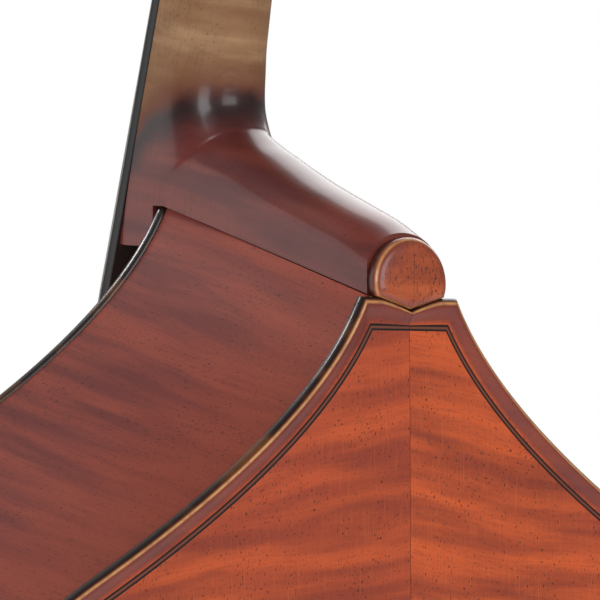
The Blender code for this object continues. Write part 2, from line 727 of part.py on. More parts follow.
def board_top(along, x):
    """Height of the fingerboard's surface above the glue plane."""
    half = board_half(along)
    rise = math.sqrt(BOARD_CURVE ** 2 - x * x) - math.sqrt(BOARD_CURVE ** 2 - half * half)
    return BOARD_SIDE + rise


def rounded(base, ridge, half, power, cap, corners=9):
    """A symmetric section: flat base, straight sides, and a ridge rounded over the cap's share of the rise."""
    right = [(half, *base)] if cap < 1 else []
    for angle in np.linspace(0, math.pi / 2, corners):
        x = half * max(math.cos(angle), 0) ** (2 / power)
        rise = 1 - cap + cap * math.sin(angle) ** (2 / power)
        y, z = (b + (r - b) * rise for b, r in zip(base, ridge))
        right.append((x, y, z))
    left = [(-x, y, z) for x, y, z in right[-2::-1]]
    return right[:-1] + [(0, *right[-1][1:])] + left


SHAFT = (
    # along the neck, thickness below the fingerboard, cap
    (NECK_LENGTH, 0.0255, 0.99), (0.400, 0.0262, 0.99), (0.300, 0.0300, 0.98), (0.200, 0.0345, 0.97),
    (0.130, 0.0385, 0.93), (0.107, 0.0398, 0.90), (0.088, 0.0410, 0.86), (0.074, 0.0430, 0.80),
)
SHAFT_POWER = 2.25
ROOT = (
    # base along the neck, ridge behind the belly's edge and above the joint, half width, power, cap
    (0.050, 0.0345, 0.0600, 0.0283, 2.2, 0.70), (0.030, 0.0345, 0.0535, 0.0287, 2.2, 0.60),
    (0.008, 0.0370, 0.0470, 0.0288, 2.2, 0.51), (-0.010, 0.0400, 0.0422, 0.0285, 2.2, 0.46),
    (-FOOT_DROP, 0.0430, 0.0392, 0.0280, 2.2, 0.43),
)
HEEL = (
    # base behind the belly's edge, then as for the root
    (0.030, 0.0640, 0.0287, 0.0261, 2.2, 0.40), (0.050, 0.0760, 0.0234, 0.0257, 2.2, 0.40),
    (0.075, 0.0930, 0.0164, 0.0252, 2.2, 0.39), (0.105, 0.1155, 0.0085, 0.0247, 2.15, 0.38),
    (0.135, 0.1385, 0.0004, 0.0242, 2.1, 0.37),
)
HEEL_END = -0.0074                 # height of the heel's ridge where it meets the back
HEEL_UNDER = 0.015                 # the heel's sections start this far below the body's top


def neck_sections():
    """The neck's sections, as base (y, drop) and ridge (y, height), half width, power and cap."""
    for along, thick, cap in SHAFT:
        base, ridge = on_neck(along), on_neck(along, 0, thick)
        yield rounded(base.yz, ridge.yz, board_half(along) - 0.0005, SHAFT_POWER, cap)
    rows = [(on_neck(along).y, -along, *rest) for along, *rest in ROOT]
    rows.append((FRONT_Y + 0.010, FOOT_DROP, 0.0530, 0.0335, 0.0268, 2.2, 0.41))
    rows += [(FRONT_Y + y, y * JOINT_SLANT + HEEL_UNDER, *rest) for y, *rest in HEEL]
    last = back_inner_y(BACK_TOP_DROP + HEEL_UNDER)
    last_drop = (last - FRONT_Y) * JOINT_SLANT + HEEL_UNDER
    rows.append((last, last_drop, back_inner_y(-HEEL_END) - FRONT_Y, HEEL_END, 0.0236, 2.0, 0.37))
    for y, drop, ridge_y, ridge_z, half, power, cap in rows:
        yield rounded((y, NECK_Z - drop), (FRONT_Y + ridge_y, NECK_Z + ridge_z), half, power, cap)


def make_neck():
    """Neck, foot and heel in one: sections fan round from the shaft to the back's button."""
    neck = add("neck", loft("neck", list(neck_sections())), "varnished_maple")
    front, far, deep = FRONT_Y - GAP, FRONT_Y + DEPTH_AT_NECK + 0.03, -0.08
    slope_end = GAP - (far - BELLY_INNER_Y) * JOINT_SLANT
    body = ((front, deep), (front, GAP), (BELLY_INNER_Y, GAP), (far, slope_end), (far, deep))
    return cut(neck, loft("body_top", [[(x, y, NECK_Z + z) for y, z in body] for x in (-0.06, 0.06)]))


def make_fingerboard():
    """The long board, round on top, that runs free over the belly."""
    sections = []
    for along in (NECK_LENGTH - GAP, 0.2, 0.0, -0.2, BOARD_END):
        half = board_half(along)
        arc = [on_neck(along, x, -board_top(along, x)) for x in np.linspace(half, -half, 9)]
        low = [on_neck(along, -half, -GAP), on_neck(along, half, -GAP)]
        sections.append([tuple(p) for p in arc + low])
    return add("fingerboard", loft("fingerboard", sections), "ebony")


def make_nut():
    """The ridge at the fingerboard's upper end that the strings cross."""
    sections = []
    half = BOARD_HALF_NUT
    for along in (NECK_LENGTH + GAP, NECK_LENGTH + NUT_LENGTH):
        arc = [on_neck(along, x, -board_top(NECK_LENGTH, x) - NUT_RISE) for x in np.linspace(half, -half, 9)]
        sections.append([tuple(p) for p in arc + [on_neck(along, -half, -GAP), on_neck(along, half, -GAP)]])
    return add("nut", loft("nut", sections), "ebony")


# ---------------------------------------------------------------- scroll and pegbox, in the neck's frame
BOX_START = NECK_LENGTH + GAP
CHEEK_HALF = 0.0270
MORTISE_HALF = 0.0180
POST_DEPTH = 0.0240
POST_RADIUS_PEG = 0.0048           # the post that a string winds on
POST_ALONG = {"e": 0.500, "g": 0.545, "a": 0.590, "d": 0.635}
SCROLL_CENTRE = (0.0300, 0.742)    # depth, along
SCROLL_RADIUS = 0.052
SCROLL_TURNS = ((0.0390, 0.0275), (0.0270, 0.0340), (0.0150, 0.0400))  # radius and half width of each turn
SCROLL_SWEEP = (math.radians(-118), math.radians(-388))    # start and end of the scroll's rim
THROAT_RADIUS = 0.0470             # the rim's radius at its start
HEAD_FRONT = ((0.0000, BOX_START), (0.0000, 0.456), (0.0035, 0.470), (0.0070, 0.560), (0.0140, 0.650),
              (0.0190, 0.684))
HEAD_BACK = ((0.0740, 0.680), (0.0700, 0.620), (0.0660, 0.560), (0.0560, 0.500), (0.0400, 0.460),
             (0.0268, BOX_START))
MORTISE_PROFILE = ((-0.030, 0.4575), (0.020, 0.4575), (0.038, 0.495), (0.046, 0.550), (0.050, 0.672),
                   (-0.030, 0.672))


def pegbox_profile():
    """Side outline as (depth, along): the front edge up, round the scroll, and down the back."""
    centre_depth, centre_along = SCROLL_CENTRE
    scroll = []
    for share in np.linspace(0, 1, 20):
        angle = SCROLL_SWEEP[0] + (SCROLL_SWEEP[1] - SCROLL_SWEEP[0]) * share
        radius = THROAT_RADIUS + (SCROLL_RADIUS - THROAT_RADIUS) * share
        scroll.append((centre_depth + radius * math.cos(angle), centre_along + radius * math.sin(angle)))
    return [*HEAD_FRONT, *scroll, *HEAD_BACK]


def make_scroll_head(parent):
    """Pegbox and scroll: an extruded side outline, widening turns, an open mortise and post holes."""
    plate = flat_plate("scroll_head", [pegbox_profile()], 2 * CHEEK_HALF)

    def place(p):
        return (p.z, p.x, p.y)
    head = add("scroll_head", moved(plate, place), "varnished_maple", parent)
    sideways = Matrix.Rotation(math.pi / 2, 4, "Y")
    for radius, half in SCROLL_TURNS:
        centre = Matrix.Translation((0, SCROLL_CENTRE[0], SCROLL_CENTRE[1]))
        cut(head, cylinder("turn", radius, 2 * half, 28), centre @ sideways, "UNION")
    mortise = flat_plate("mortise", [MORTISE_PROFILE], 2 * MORTISE_HALF)
    cut(head, moved(mortise, place))
    for along in POST_ALONG.values():
        hole = cylinder("post_hole", POST_RADIUS_PEG + 0.0004, 2 * CHEEK_HALF + 0.01, 12)
        cut(head, hole, Matrix.Translation((0, POST_DEPTH, along)) @ sideways)
    return head


# ---------------------------------------------------------------- tuning machines, in the neck's frame
POST_FAR_END = 0.0235              # the post ends inside the far cheek
PLATE_THICKNESS = 0.0015
PLATE_OUT = CHEEK_HALF + GAP + PLATE_THICKNESS
GEAR_THICKNESS = 0.0045
GEAR_MID = PLATE_OUT + 0.0048      # leaves room for the worm beside the plate
POST_NEAR_END = GEAR_MID - GEAR_THICKNESS / 2 - GAP
GEAR_OUTER = GEAR_PITCH_RADIUS + 0.0013
GEAR_ROOT = GEAR_PITCH_RADIUS - 0.0019
WORM_CORE = 0.0028
WORM_THREAD_RADIUS = 0.0009
WORM_THREAD_CENTRE = 0.0033
WORM_TURNS = 3.5
KEY_SHAFT = 0.0026
SHAFT_LENGTH = 0.068
THREAD_STEPS = 12                  # points in each turn of the worm
EAR_HALF_WIDTH = 0.0150
EAR_HALF_LENGTH = 0.011
EAR_PLACE = 0.064                  # the ear's middle, from the worm's
EAR_THICKNESS = 0.0036


def gear_outline():
    """Teeth with flat tops, narrower than the gaps between them."""
    points = []
    for tooth in range(GEAR_TEETH):
        middle = 2 * math.pi * tooth / GEAR_TEETH
        for share, radius in zip((-0.26, -0.13, 0.13, 0.26), (GEAR_ROOT, GEAR_OUTER, GEAR_OUTER, GEAR_ROOT)):
            angle = middle + share * 2 * math.pi / GEAR_TEETH
            points.append((radius * math.cos(angle), radius * math.sin(angle)))
    return points


def worm_mesh():
    """A worm on its shaft along Z, in one body with the flat ear that is turned by hand."""
    length = WORM_PITCH * WORM_TURNS
    shaft = cylinder("key", KEY_SHAFT, SHAFT_LENGTH, 16)
    shaft.transform(Matrix.Translation((0, 0, 0.021)))
    key = bpy.data.objects.new("key_carrier", shaft)
    BASS.objects.link(key)
    cut(key, cylinder("worm_core", WORM_CORE, length + 0.003, 16), None, "UNION")
    route = []
    for i in range(int(WORM_TURNS * THREAD_STEPS) + 1):
        angle = 2 * math.pi * i / THREAD_STEPS
        z = WORM_PITCH * i / THREAD_STEPS - length / 2
        route.append((WORM_THREAD_CENTRE * math.cos(angle), WORM_THREAD_CENTRE * math.sin(angle), z))
    thread = tube("thread", route, WORM_THREAD_RADIUS, "brass", None, 1)
    bpy.context.view_layer.update()
    graph = bpy.context.evaluated_depsgraph_get()
    thread_mesh = bpy.data.meshes.new_from_object(thread.evaluated_get(graph))
    bpy.data.objects.remove(thread, do_unlink=True)
    work = bmesh.new()
    work.from_mesh(thread_mesh)
    bmesh.ops.remove_doubles(work, verts=work.verts, dist=0.00001)
    work.to_mesh(thread_mesh)
    work.free()
    cut(key, thread_mesh, None, "UNION")
    ear = []
    for angle in np.linspace(0, 2 * math.pi, 24, endpoint=False):
        bow = abs(math.sin(angle))
        wide = EAR_HALF_WIDTH * (1 + 0.22 * bow)
        reach = EAR_HALF_LENGTH * math.cos(angle) * (1 - 0.25 * bow)
        ear.append((wide * math.sin(angle), EAR_PLACE - reach))
    handle = flat_plate("ear", [ear], EAR_THICKNESS)
    handle = moved(handle, lambda p: (p.x, -p.z, p.y))
    cut(key, handle, None, "UNION")
    bpy.context.view_layer.update()
    graph = bpy.context.evaluated_depsgraph_get()
    mesh = bpy.data.meshes.new_from_object(key.evaluated_get(graph))
    for modifier in list(key.modifiers):
        bpy.data.objects.remove(modifier.object, do_unlink=True)
    bpy.data.objects.remove(key, do_unlink=True)
    return smooth(mesh)


def make_machines(parent):
    """Each string's machine: a plate, a worm key, its gear wheel and the post that the string winds on."""
    gear = flat_plate("gear", [gear_outline()], GEAR_THICKNESS)
    worm = worm_mesh()
    sideways = Matrix.Rotation(math.pi / 2, 4, "Y")
    for name, along in POST_ALONG.items():
        side = 1 if name in "gd" else -1
        centre = Vector((0, POST_DEPTH, along))
        far = centre + Vector((0, 0, WORM_CENTRE_DISTANCE))
        low = Vector((side * (CHEEK_HALF + GAP), POST_DEPTH - 0.0150, along - 0.0170))
        high = Vector((side * PLATE_OUT, POST_DEPTH + 0.0150, along + WORM_CENTRE_DISTANCE + 0.0060))
        corners = [Vector(map(pick, low, high)) for pick in (min, max)]
        plate = add("machine_plate_" + name, block("plate", *corners), "brass", parent)
        hole = cylinder("post_hole", POST_RADIUS_PEG + 0.0004, 0.02, 12)
        cut(plate, hole, Matrix.Translation(centre + Vector((side * PLATE_OUT, 0, 0))) @ sideways)
        post_mesh = cylinder("post", POST_RADIUS_PEG, POST_NEAR_END + POST_FAR_END, 16)
        post = add("tuning_post_" + name, post_mesh, "steel", parent)
        post.location = centre + Vector((side * (POST_NEAR_END - POST_FAR_END) / 2, 0, 0))
        post.rotation_euler = (0, math.pi / 2, 0)
        wheel = add("gear_wheel_" + name, gear.copy(), "brass", parent)
        wheel.location = centre + Vector((side * GEAR_MID, 0, 0))
        wheel.rotation_euler = (0, math.pi / 2, 0)
        key = add("tuning_key_" + name, worm.copy(), "brass", parent)
        key.location = far + Vector((side * GEAR_MID, 0, 0))
        key.rotation_euler = (-math.pi / 2, 0, 0)


# ---------------------------------------------------------------- bridge, tailpiece and strings
BRIDGE_Z = NECK_Z - STOP_DROP
BRIDGE_TOP_Y = FRONT_Y - 0.158     # the middle strings' height over the belly's edge
BRIDGE_CURVE = 0.085
BRIDGE_TOP_HALF = 0.0034
TAIL_TOP_DROP = 0.765
TAIL_LENGTH = 0.300
SADDLE_TOP = FRONT_Y - 0.012
WIRE_RADIUS = 0.0016
WIRE_HALF_GAP = 0.0150
WIND_POINTS = 10                   # points in each turn of a string round its post
WIND_TURNS = 2.3
WIND_X = {"g": 0.0040, "d": 0.0015, "a": -0.0015, "e": -0.0040}
TAIL_THICKNESS = 0.0090
TAIL_HOLE = 0.030                  # the strings' holes, from the tailpiece's upper end
TAIL_SHAPE = (
    # distance down it, half width, height of the dome
    (0.000, 0.0400, 0.0050), (0.012, 0.0425, 0.0078), (0.040, 0.0415, 0.0090), (0.140, 0.0330, 0.0090),
    (0.250, 0.0265, 0.0085), (0.292, 0.0250, 0.0075), (0.300, 0.0235, 0.0055),
)
TAIL_EDGE = 0.35                   # the dome's height at its sides, as a share
SADDLE_HALF = 0.032
SADDLE_CUT = 0.0165
BRIDGE_FEET = (0.045, 0.060, 0.078)
BRIDGE_FOOT_THICKNESS = 0.0200
BRIDGE_THINNING = 0.70             # share of its thickness that it has lost at the strings
BRIDGE_FLANK = (
    # half width and height above the feet, from the arch between the legs to the top corner
    (0.0190, 0.052), (0.0300, 0.036), (0.0400, 0.0100), (0.0420, 0.000), (0.0800, 0.000), (0.0805, 0.0060),
    (0.0700, 0.0120), (0.0640, 0.0250), (0.0640, 0.0400), (0.0740, 0.0500), (0.0760, 0.0560),
    (0.0680, 0.0600), (0.0610, 0.0660), (0.0640, 0.0740), (0.0690, 0.0800), (0.0640, 0.0860), (0.0560, 0.1000),
)
BRIDGE_ARCH = 0.0500               # height of the arch between the legs


def bridge_point(x):
    """Where a string at x crosses the bridge."""
    return Vector((x, BRIDGE_TOP_Y + BRIDGE_CURVE - math.sqrt(BRIDGE_CURVE ** 2 - x * x), BRIDGE_Z))


def tail_line(distance, out=0.0, x=0.0):
    """A place on the tailpiece's middle plane: a distance down it, out from it and sideways."""
    top = Vector((0, BRIDGE_TOP_Y + 0.004, BRIDGE_Z))
    low = Vector((0, SADDLE_TOP - WIRE_RADIUS, NECK_Z - BODY_LENGTH + 0.012))
    way = (low - top).normalized()
    start = top + way * (TAIL_TOP_DROP - STOP_DROP) / -way.z
    outward = Vector((0, way.z, -way.y))
    return start + way * distance + outward * out + Vector((x, 0, 0))


def string_route(index):
    """Points of one string from the tailpiece over bridge and nut to its winding on the post."""
    name, radius, share = STRING_NAMES[index], STRING_RADII[index], STRING_SIDES[index]
    tail_x, bridge_x, nut_x = share * TAIL_SPREAD, share * BRIDGE_SPREAD, share * NUT_SPREAD
    over_bridge = bridge_point(bridge_x) + Vector((0, -radius - 2 * GAP, 0))
    nut_lift = board_top(NECK_LENGTH, nut_x) + NUT_RISE + GAP + radius
    past_nut = NECK_LENGTH + NUT_LENGTH + 2 * GAP
    route = [tail_line(TAIL_HOLE, -0.002, tail_x),
             tail_line(TAIL_HOLE - 0.001, TAIL_THICKNESS + 0.001, tail_x),
             over_bridge + Vector((0, 0, -BRIDGE_TOP_HALF)), over_bridge + Vector((0, 0, BRIDGE_TOP_HALF)),
             on_neck(NECK_LENGTH, nut_x, -nut_lift), on_neck(past_nut, nut_x, -nut_lift)]
    wind = POST_RADIUS_PEG + GAP + radius
    step = (2 * radius + GAP) / WIND_POINTS
    start = Vector((past_nut, -nut_lift))
    reach = Vector((POST_ALONG[name], POST_DEPTH)) - start
    angle = math.atan2(reach.y, reach.x) - math.asin(wind / reach.length)
    x = WIND_X[name]
    for i in range(int(WIND_POINTS * WIND_TURNS) + 1):
        turn = angle + 2 * math.pi * i / WIND_POINTS
        along = POST_ALONG[name] + wind * math.sin(turn)
        route.append(on_neck(along, x + math.copysign(step * i, x), POST_DEPTH - wind * math.cos(turn)))
    return route


def make_strings():
    """Four strings, each one wire from the tailpiece to its winding."""
    for index, name in enumerate(STRING_NAMES):
        tube("string_" + name, string_route(index), STRING_RADII[index], "string_wire", None, 1)


def make_tailpiece():
    """A long domed plate that holds the strings' lower ends."""
    sections = []
    for distance, half, height in TAIL_SHAPE:
        ring = []
        for x in np.linspace(half, -half, 9):
            share = TAIL_EDGE + (1 - TAIL_EDGE) * math.sqrt(1 - (x / half) ** 2)
            ring.append(tail_line(distance, height * share, x))
        ring += [tail_line(distance, -0.004, -half), tail_line(distance, -0.004, half)]
        sections.append([tuple(p) for p in ring])
    tail = add("tailpiece", loft("tailpiece", sections), "ebony")
    way = tail_line(1) - tail_line(0)
    lean = way.to_track_quat("-Z", "X").to_matrix().to_4x4()
    across = (tail_line(0, 1) - tail_line(0)).to_track_quat("Z", "X").to_matrix().to_4x4()
    for index, share in enumerate(STRING_SIDES):
        hole = cylinder("string_hole", STRING_RADII[index] + 0.0012, 0.05, 10)
        cut(tail, hole, Matrix.Translation(tail_line(TAIL_HOLE, 0.002, share * TAIL_SPREAD)) @ across)
    for side in (-1, 1):
        hole = cylinder("wire_hole", WIRE_RADIUS + 0.0008, 0.06, 10)
        cut(tail, hole, Matrix.Translation(tail_line(TAIL_LENGTH, 0, side * WIRE_HALF_GAP)) @ lean)
    return tail


def make_tail_wire():
    """The loop from the tailpiece over the saddle and round the endpin's plug."""
    half = [tail_line(TAIL_LENGTH + reach, 0, WIRE_HALF_GAP) for reach in (-0.020, 0.002)]
    over = SADDLE_TOP - WIRE_RADIUS - GAP
    for back, rise in ((0, 0.0130), (0, 0.0010), (0.0016, -0.0030), (0.0055, -0.0041)):
        half.append(Vector((WIRE_HALF_GAP, over + back, BODY_BOTTOM + rise)))
    plug_wind = PLUG_RADIUS + WIRE_RADIUS + 2 * GAP
    for share in np.linspace(0, 1, 4):
        x = WIRE_HALF_GAP + (plug_wind - WIRE_HALF_GAP) * share
        z = BODY_BOTTOM - 0.0041 + 0.0053 * share
        half.append(Vector((x, FRONT_Y + 0.020 + (-0.010 - FRONT_Y - 0.020) * share, z)))
    level = BODY_BOTTOM + 0.0012
    for angle in np.linspace(0, math.pi / 2, 6):
        half.append(Vector((plug_wind * math.cos(angle), plug_wind * math.sin(angle), level)))
    other = [Vector((-p.x, p.y, p.z)) for p in half[-2::-1]]
    return tube("tail_wire", half + other, WIRE_RADIUS, "steel", None, 1)


def make_saddle(bellies):
    """The hard block let into the belly's lower edge, which the tail wire bends over."""
    low_y, high_y = SADDLE_TOP, FRONT_Y + BELLY_THICKNESS
    for belly in bellies:
        reach = GAP + SADDLE_HALF
        notch = block("saddle_notch", (-reach, FRONT_Y - 0.05, BODY_BOTTOM - 0.01),
                      (reach, FRONT_Y + 0.05, BODY_BOTTOM + SADDLE_CUT + GAP))
        cut(belly, notch)
    saddle = add("saddle", block("saddle", (-SADDLE_HALF, low_y, BODY_BOTTOM - 0.0012),
                                 (SADDLE_HALF, high_y - GAP, BODY_BOTTOM + SADDLE_CUT)), "ebony")
    return bevelled(saddle, 0.0010, 2)


def make_bridge(bellies):
    """The bridge: feet, legs, a heart, two side eyes and a curved top, thinner towards the strings."""
    foot_y = min(nearest_surface(belly.data, (side * x, -0.5, BRIDGE_Z + dz), (0, 1, 0)).y
                 for side, belly in bellies for x in BRIDGE_FEET for dz in (-0.012, 0, 0.012))
    base = foot_y - GAP
    tall = base - BRIDGE_TOP_Y
    top_half = BRIDGE_SPREAD + 0.0075
    top = []
    for x in np.linspace(top_half, 0, 7):
        sag = BRIDGE_CURVE - math.sqrt(BRIDGE_CURVE ** 2 - x * x)
        top.append((x, tall - sag))
    half = [*BRIDGE_FLANK, *top[:-1]]
    outline = half + [(0, tall)] + [(-x, h) for x, h in half[::-1]] + [(0, BRIDGE_ARCH)]
    heart = []
    for angle in np.linspace(0, 2 * math.pi, 18, endpoint=False):
        rise = 0.012 * math.cos(angle) * (1 - 0.25 * math.cos(angle) ** 2)
        heart.append((0.0125 * math.sin(angle), 0.083 + rise))
    eyes = []
    for side in (-1, 1):
        eyes.append([(side * 0.040 + 0.0085 * math.cos(t), 0.062 + 0.0120 * math.sin(t))
                     for t in np.linspace(0, 2 * math.pi, 14, endpoint=False)])
    plate = flat_plate("bridge", [outline, heart] + eyes, BRIDGE_FOOT_THICKNESS)

    def place(p):
        thick = 1 - BRIDGE_THINNING * min(max(p.y / tall, 0), 1)
        back = BRIDGE_Z - BRIDGE_TOP_HALF + GAP
        return (p.x, base - p.y, back + (p.z + BRIDGE_FOOT_THICKNESS / 2) * thick)
    return add("bridge", moved(plate, place), "bridge_maple")


# ---------------------------------------------------------------- the whole bass
BELLIES = {}
for SIDE, LABEL in ((1, "treble"), (-1, "bass")):
    make_back(SIDE, LABEL)
    BELLIES[LABEL] = make_belly(SIDE, LABEL)
    cut_f_hole(BELLIES[LABEL], SIDE)
    plug_hole(make_ribs(SIDE, LABEL))
    make_corner_block("corner_block_upper_" + LABEL, SIDE, UPPER, WAIST, UPPER_MITRE)
    make_corner_block("corner_block_lower_" + LABEL, SIDE, WAIST, LOWER, LOWER_MITRE)
make_neck_block()
make_end_block()
for BRACE in BRACES:
    make_brace(*BRACE)
make_bass_bar(BELLIES["bass"])
make_sound_post(BELLIES["treble"])
make_endpin()
NECK_FRAME = neck_frame()
make_neck()
make_fingerboard()
make_nut()
make_scroll_head(NECK_FRAME)
make_machines(NECK_FRAME)
make_saddle(BELLIES.values())
make_bridge(((1, BELLIES["treble"]), (-1, BELLIES["bass"])))
make_tailpiece()
make_tail_wire()
make_strings()
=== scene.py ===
"""Looks of the double bass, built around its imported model.

Metres, +Z up, -Y the front (the belly), +X the treble side. A drop is a distance below the place
where the neck meets the belly. A mesh's "grain" attribute is the wood's own coordinate, and its
"edge" attribute is the distance in from a plate's outline, negative on the underside of its rim.
"""

import math
from contextlib import contextmanager

import bmesh
import bpy
import numpy as np
from mathutils import Matrix, Vector
from mathutils.kdtree import KDTree


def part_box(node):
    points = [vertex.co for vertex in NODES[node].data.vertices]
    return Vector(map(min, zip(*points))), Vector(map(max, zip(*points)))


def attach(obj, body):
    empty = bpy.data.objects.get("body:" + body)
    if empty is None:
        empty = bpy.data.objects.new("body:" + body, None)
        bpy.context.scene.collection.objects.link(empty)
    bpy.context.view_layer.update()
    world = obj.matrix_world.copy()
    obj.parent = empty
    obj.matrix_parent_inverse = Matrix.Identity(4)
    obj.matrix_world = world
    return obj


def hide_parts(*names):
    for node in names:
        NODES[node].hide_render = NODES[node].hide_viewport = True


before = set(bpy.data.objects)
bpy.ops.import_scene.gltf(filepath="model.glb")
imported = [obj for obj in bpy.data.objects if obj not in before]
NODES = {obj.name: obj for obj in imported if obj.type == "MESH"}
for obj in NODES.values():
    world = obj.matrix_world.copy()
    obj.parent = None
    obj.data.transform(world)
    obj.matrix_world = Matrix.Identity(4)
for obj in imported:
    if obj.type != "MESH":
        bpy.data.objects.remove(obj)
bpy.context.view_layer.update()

# ---------------------------------------------------------------- places, from the frame
NECK_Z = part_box("belly_treble")[1].z
BODY_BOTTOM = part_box("belly_treble")[0].z
BODY_LENGTH = NECK_Z - BODY_BOTTOM
FRONT_TO_RIB = 0.0073
FRONT_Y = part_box("rib_lower_treble")[0].y - FRONT_TO_RIB
BACK_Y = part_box("back_treble")[1].y
NECK_ANGLE = math.radians(10.3)
SIN, COS = math.sin(NECK_ANGLE), math.cos(NECK_ANGLE)
OVERSTAND = 0.0207
NECK_ROOT = Vector((0, FRONT_Y - OVERSTAND, NECK_Z))
NECK_LENGTH = 0.440
BACK_TILT = math.radians(3.8)
BACK_TOP_DROP = 0.0375
DEPTH_AT_NECK = 0.164
BEND_DROP = BACK_TOP_DROP + (BACK_Y - FRONT_Y - DEPTH_AT_NECK) / math.tan(BACK_TILT)
PLATE = 0.0065                     # thickness of the plates at their edge
OVERHANG = 0.005
RIB_THICKNESS = 0.0028
GAP = 0.0003
ARCH_HEIGHT = 0.032
STOP_DROP = 0.620                  # from the neck to the bridge
PLATE_SEAM = GAP / 3               # half the gap between the two halves of a plate
RIB_SEAM = GAP / 2
WELD = 0.00001                     # points closer than this become one


# ---------------------------------------------------------------- meshes
def unit(vector):
    """The vector at length 1."""
    return vector / np.linalg.norm(vector)


def linked(name, data):
    """A new object in the scene."""
    made = bpy.data.objects.new(name, data)
    bpy.context.scene.collection.objects.link(made)
    return made


@contextmanager
def editing(mesh):
    """A bmesh of the mesh, written back at the block's end."""
    work = bmesh.new()
    work.from_mesh(mesh)
    yield work
    work.to_mesh(mesh)
    work.free()


def smooth_mesh(mesh, angle=math.radians(40)):
    """The mesh shaded smooth, but for edges sharper than the angle."""
    mesh.shade_smooth()
    mesh.set_sharp_from_angle(angle=angle)
    return mesh


def mesh_of(name, points, faces, grain=None, marks=None):
    """A mesh with its wood-grain coordinate, if any, and named values at its points."""
    mesh = bpy.data.meshes.new(name)
    mesh.from_pydata([tuple(float(c) for c in p) for p in points], [], faces)
    if grain is not None:
        layer = mesh.attributes.new("grain", "FLOAT_VECTOR", "POINT")
        layer.data.foreach_set("vector", np.array(grain, np.float32).ravel())
    for key, values in (marks or {}).items():
        layer = mesh.attributes.new(key, "FLOAT", "POINT")
        layer.data.foreach_set("value", np.array(values, np.float32))
    mesh.update()
    return mesh


def outward(mesh):
    """The mesh with its faces turned outwards."""
    with editing(mesh) as work:
        bmesh.ops.recalc_face_normals(work, faces=work.faces)
    return mesh


def piece(name, data, material, replaced=(), body="root"):
    """A finished piece: in the scene, with its material, riding on its body."""
    made = linked(name, data)
    data.materials.clear()
    data.materials.append(material)
    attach(made, body)
    if replaced:
        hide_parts(*replaced)
    return made


def grid_faces(rows, columns, closed_columns=False):
    """Quads between rows of points, and round from the last column to the first when closed."""
    faces = []
    width = columns if closed_columns else columns - 1
    for r in range(rows - 1):
        for c in range(width):
            a, b = r * columns + c, r * columns + (c + 1) % columns
            faces.append((a, b, b + columns, a + columns))
    return faces


def loft(name, sections, grain=None):
    """Closed sections of equal point count, joined in order, with flat ends."""
    rows, columns = len(sections), len(sections[0])
    faces = grid_faces(rows, columns, True)
    faces.append(tuple(reversed(range(columns))))
    faces.append(tuple(range((rows - 1) * columns, rows * columns)))
    points = [p for section in sections for p in section]
    return smooth_mesh(outward(mesh_of(name, points, faces, grain)))


def evaluated(obj):
    """The object's mesh with its modifiers applied."""
    bpy.context.view_layer.update()
    graph = bpy.context.evaluated_depsgraph_get()
    return bpy.data.meshes.new_from_object(obj.evaluated_get(graph))


def boolean(mesh, tool):
    """The mesh cut by a tool mesh."""
    base, cutter = linked("base", mesh), linked("tool", tool)
    modifier = base.modifiers.new("cut", "BOOLEAN")
    modifier.operation = "DIFFERENCE"
    modifier.solver = "EXACT"
    modifier.object = cutter
    result = evaluated(base)
    for used in (base, cutter):
        bpy.data.objects.remove(used, do_unlink=True)
    return smooth_mesh(result)


def bevelled(mesh, width, segments=3, angle=math.radians(35)):
    """The mesh with its edges rounded."""
    base = linked("base", mesh)
    modifier = base.modifiers.new("rounded", "BEVEL")
    modifier.width = width
    modifier.segments = segments
    modifier.limit_method = "ANGLE"
    modifier.angle_limit = angle
    result = evaluated(base)
    bpy.data.objects.remove(base, do_unlink=True)
    return smooth_mesh(result)


def extruded(name, outlines, thickness):
    """A flat plate in XY, centred on Z = 0, from an outline and holes."""
    curve = bpy.data.curves.new(name, "CURVE")
    curve.dimensions = "2D"
    curve.fill_mode = "BOTH"
    curve.extrude = thickness / 2
    for outline in outlines:
        spline = curve.splines.new("POLY")
        spline.points.add(len(outline) - 1)
        for point, (x, y) in zip(spline.points, outline):
            point.co = (x, y, 0, 1)
        spline.use_cyclic_u = True
    carrier = linked(name, curve)
    mesh = evaluated(carrier)
    bpy.data.objects.remove(carrier, do_unlink=True)
    with editing(mesh) as work:
        bmesh.ops.remove_doubles(work, verts=work.verts, dist=WELD)
    return outward(mesh)


def moved(mesh, rule):
    """The mesh with each point put where the rule says."""
    for vertex in mesh.vertices:
        vertex.co = rule(vertex.co)
    return outward(mesh)


def turned(profile, steps=48):
    """A turned surface about Z from a profile (radius, height); ends on the axis are closed."""
    points, faces = [], []
    for step in range(steps):
        angle = 2 * math.pi * step / steps
        points += [(r * math.cos(angle), r * math.sin(angle), z) for r, z in profile]
    count = len(profile)
    for step in range(steps):
        a, b = step * count, (step + 1) % steps * count
        faces += [(a + i, a + i + 1, b + i + 1, b + i) for i in range(count - 1)]
    mesh = mesh_of("turned", points, faces)
    with editing(mesh) as work:
        bmesh.ops.remove_doubles(work, verts=work.verts, dist=0.5 * WELD)
        bmesh.ops.dissolve_degenerate(work, edges=work.edges, dist=0.1 * WELD)
        bmesh.ops.recalc_face_normals(work, faces=work.faces)
    return smooth_mesh(mesh, math.radians(30))


def cylinder(radius, low, high, steps):
    """A plain round bar about Z."""
    return turned([(0, high), (radius, high), (radius, low), (0, low)], steps)


def circle(radius, steps, x=0.0, y=0.0):
    """Points round a circle, counterclockwise."""
    return [(x + radius * math.cos(angle), y + radius * math.sin(angle))
            for angle in np.linspace(0, 2 * math.pi, steps, endpoint=False)]


def placed(mesh, matrix):
    """The mesh moved by a matrix."""
    mesh.transform(matrix)
    return mesh


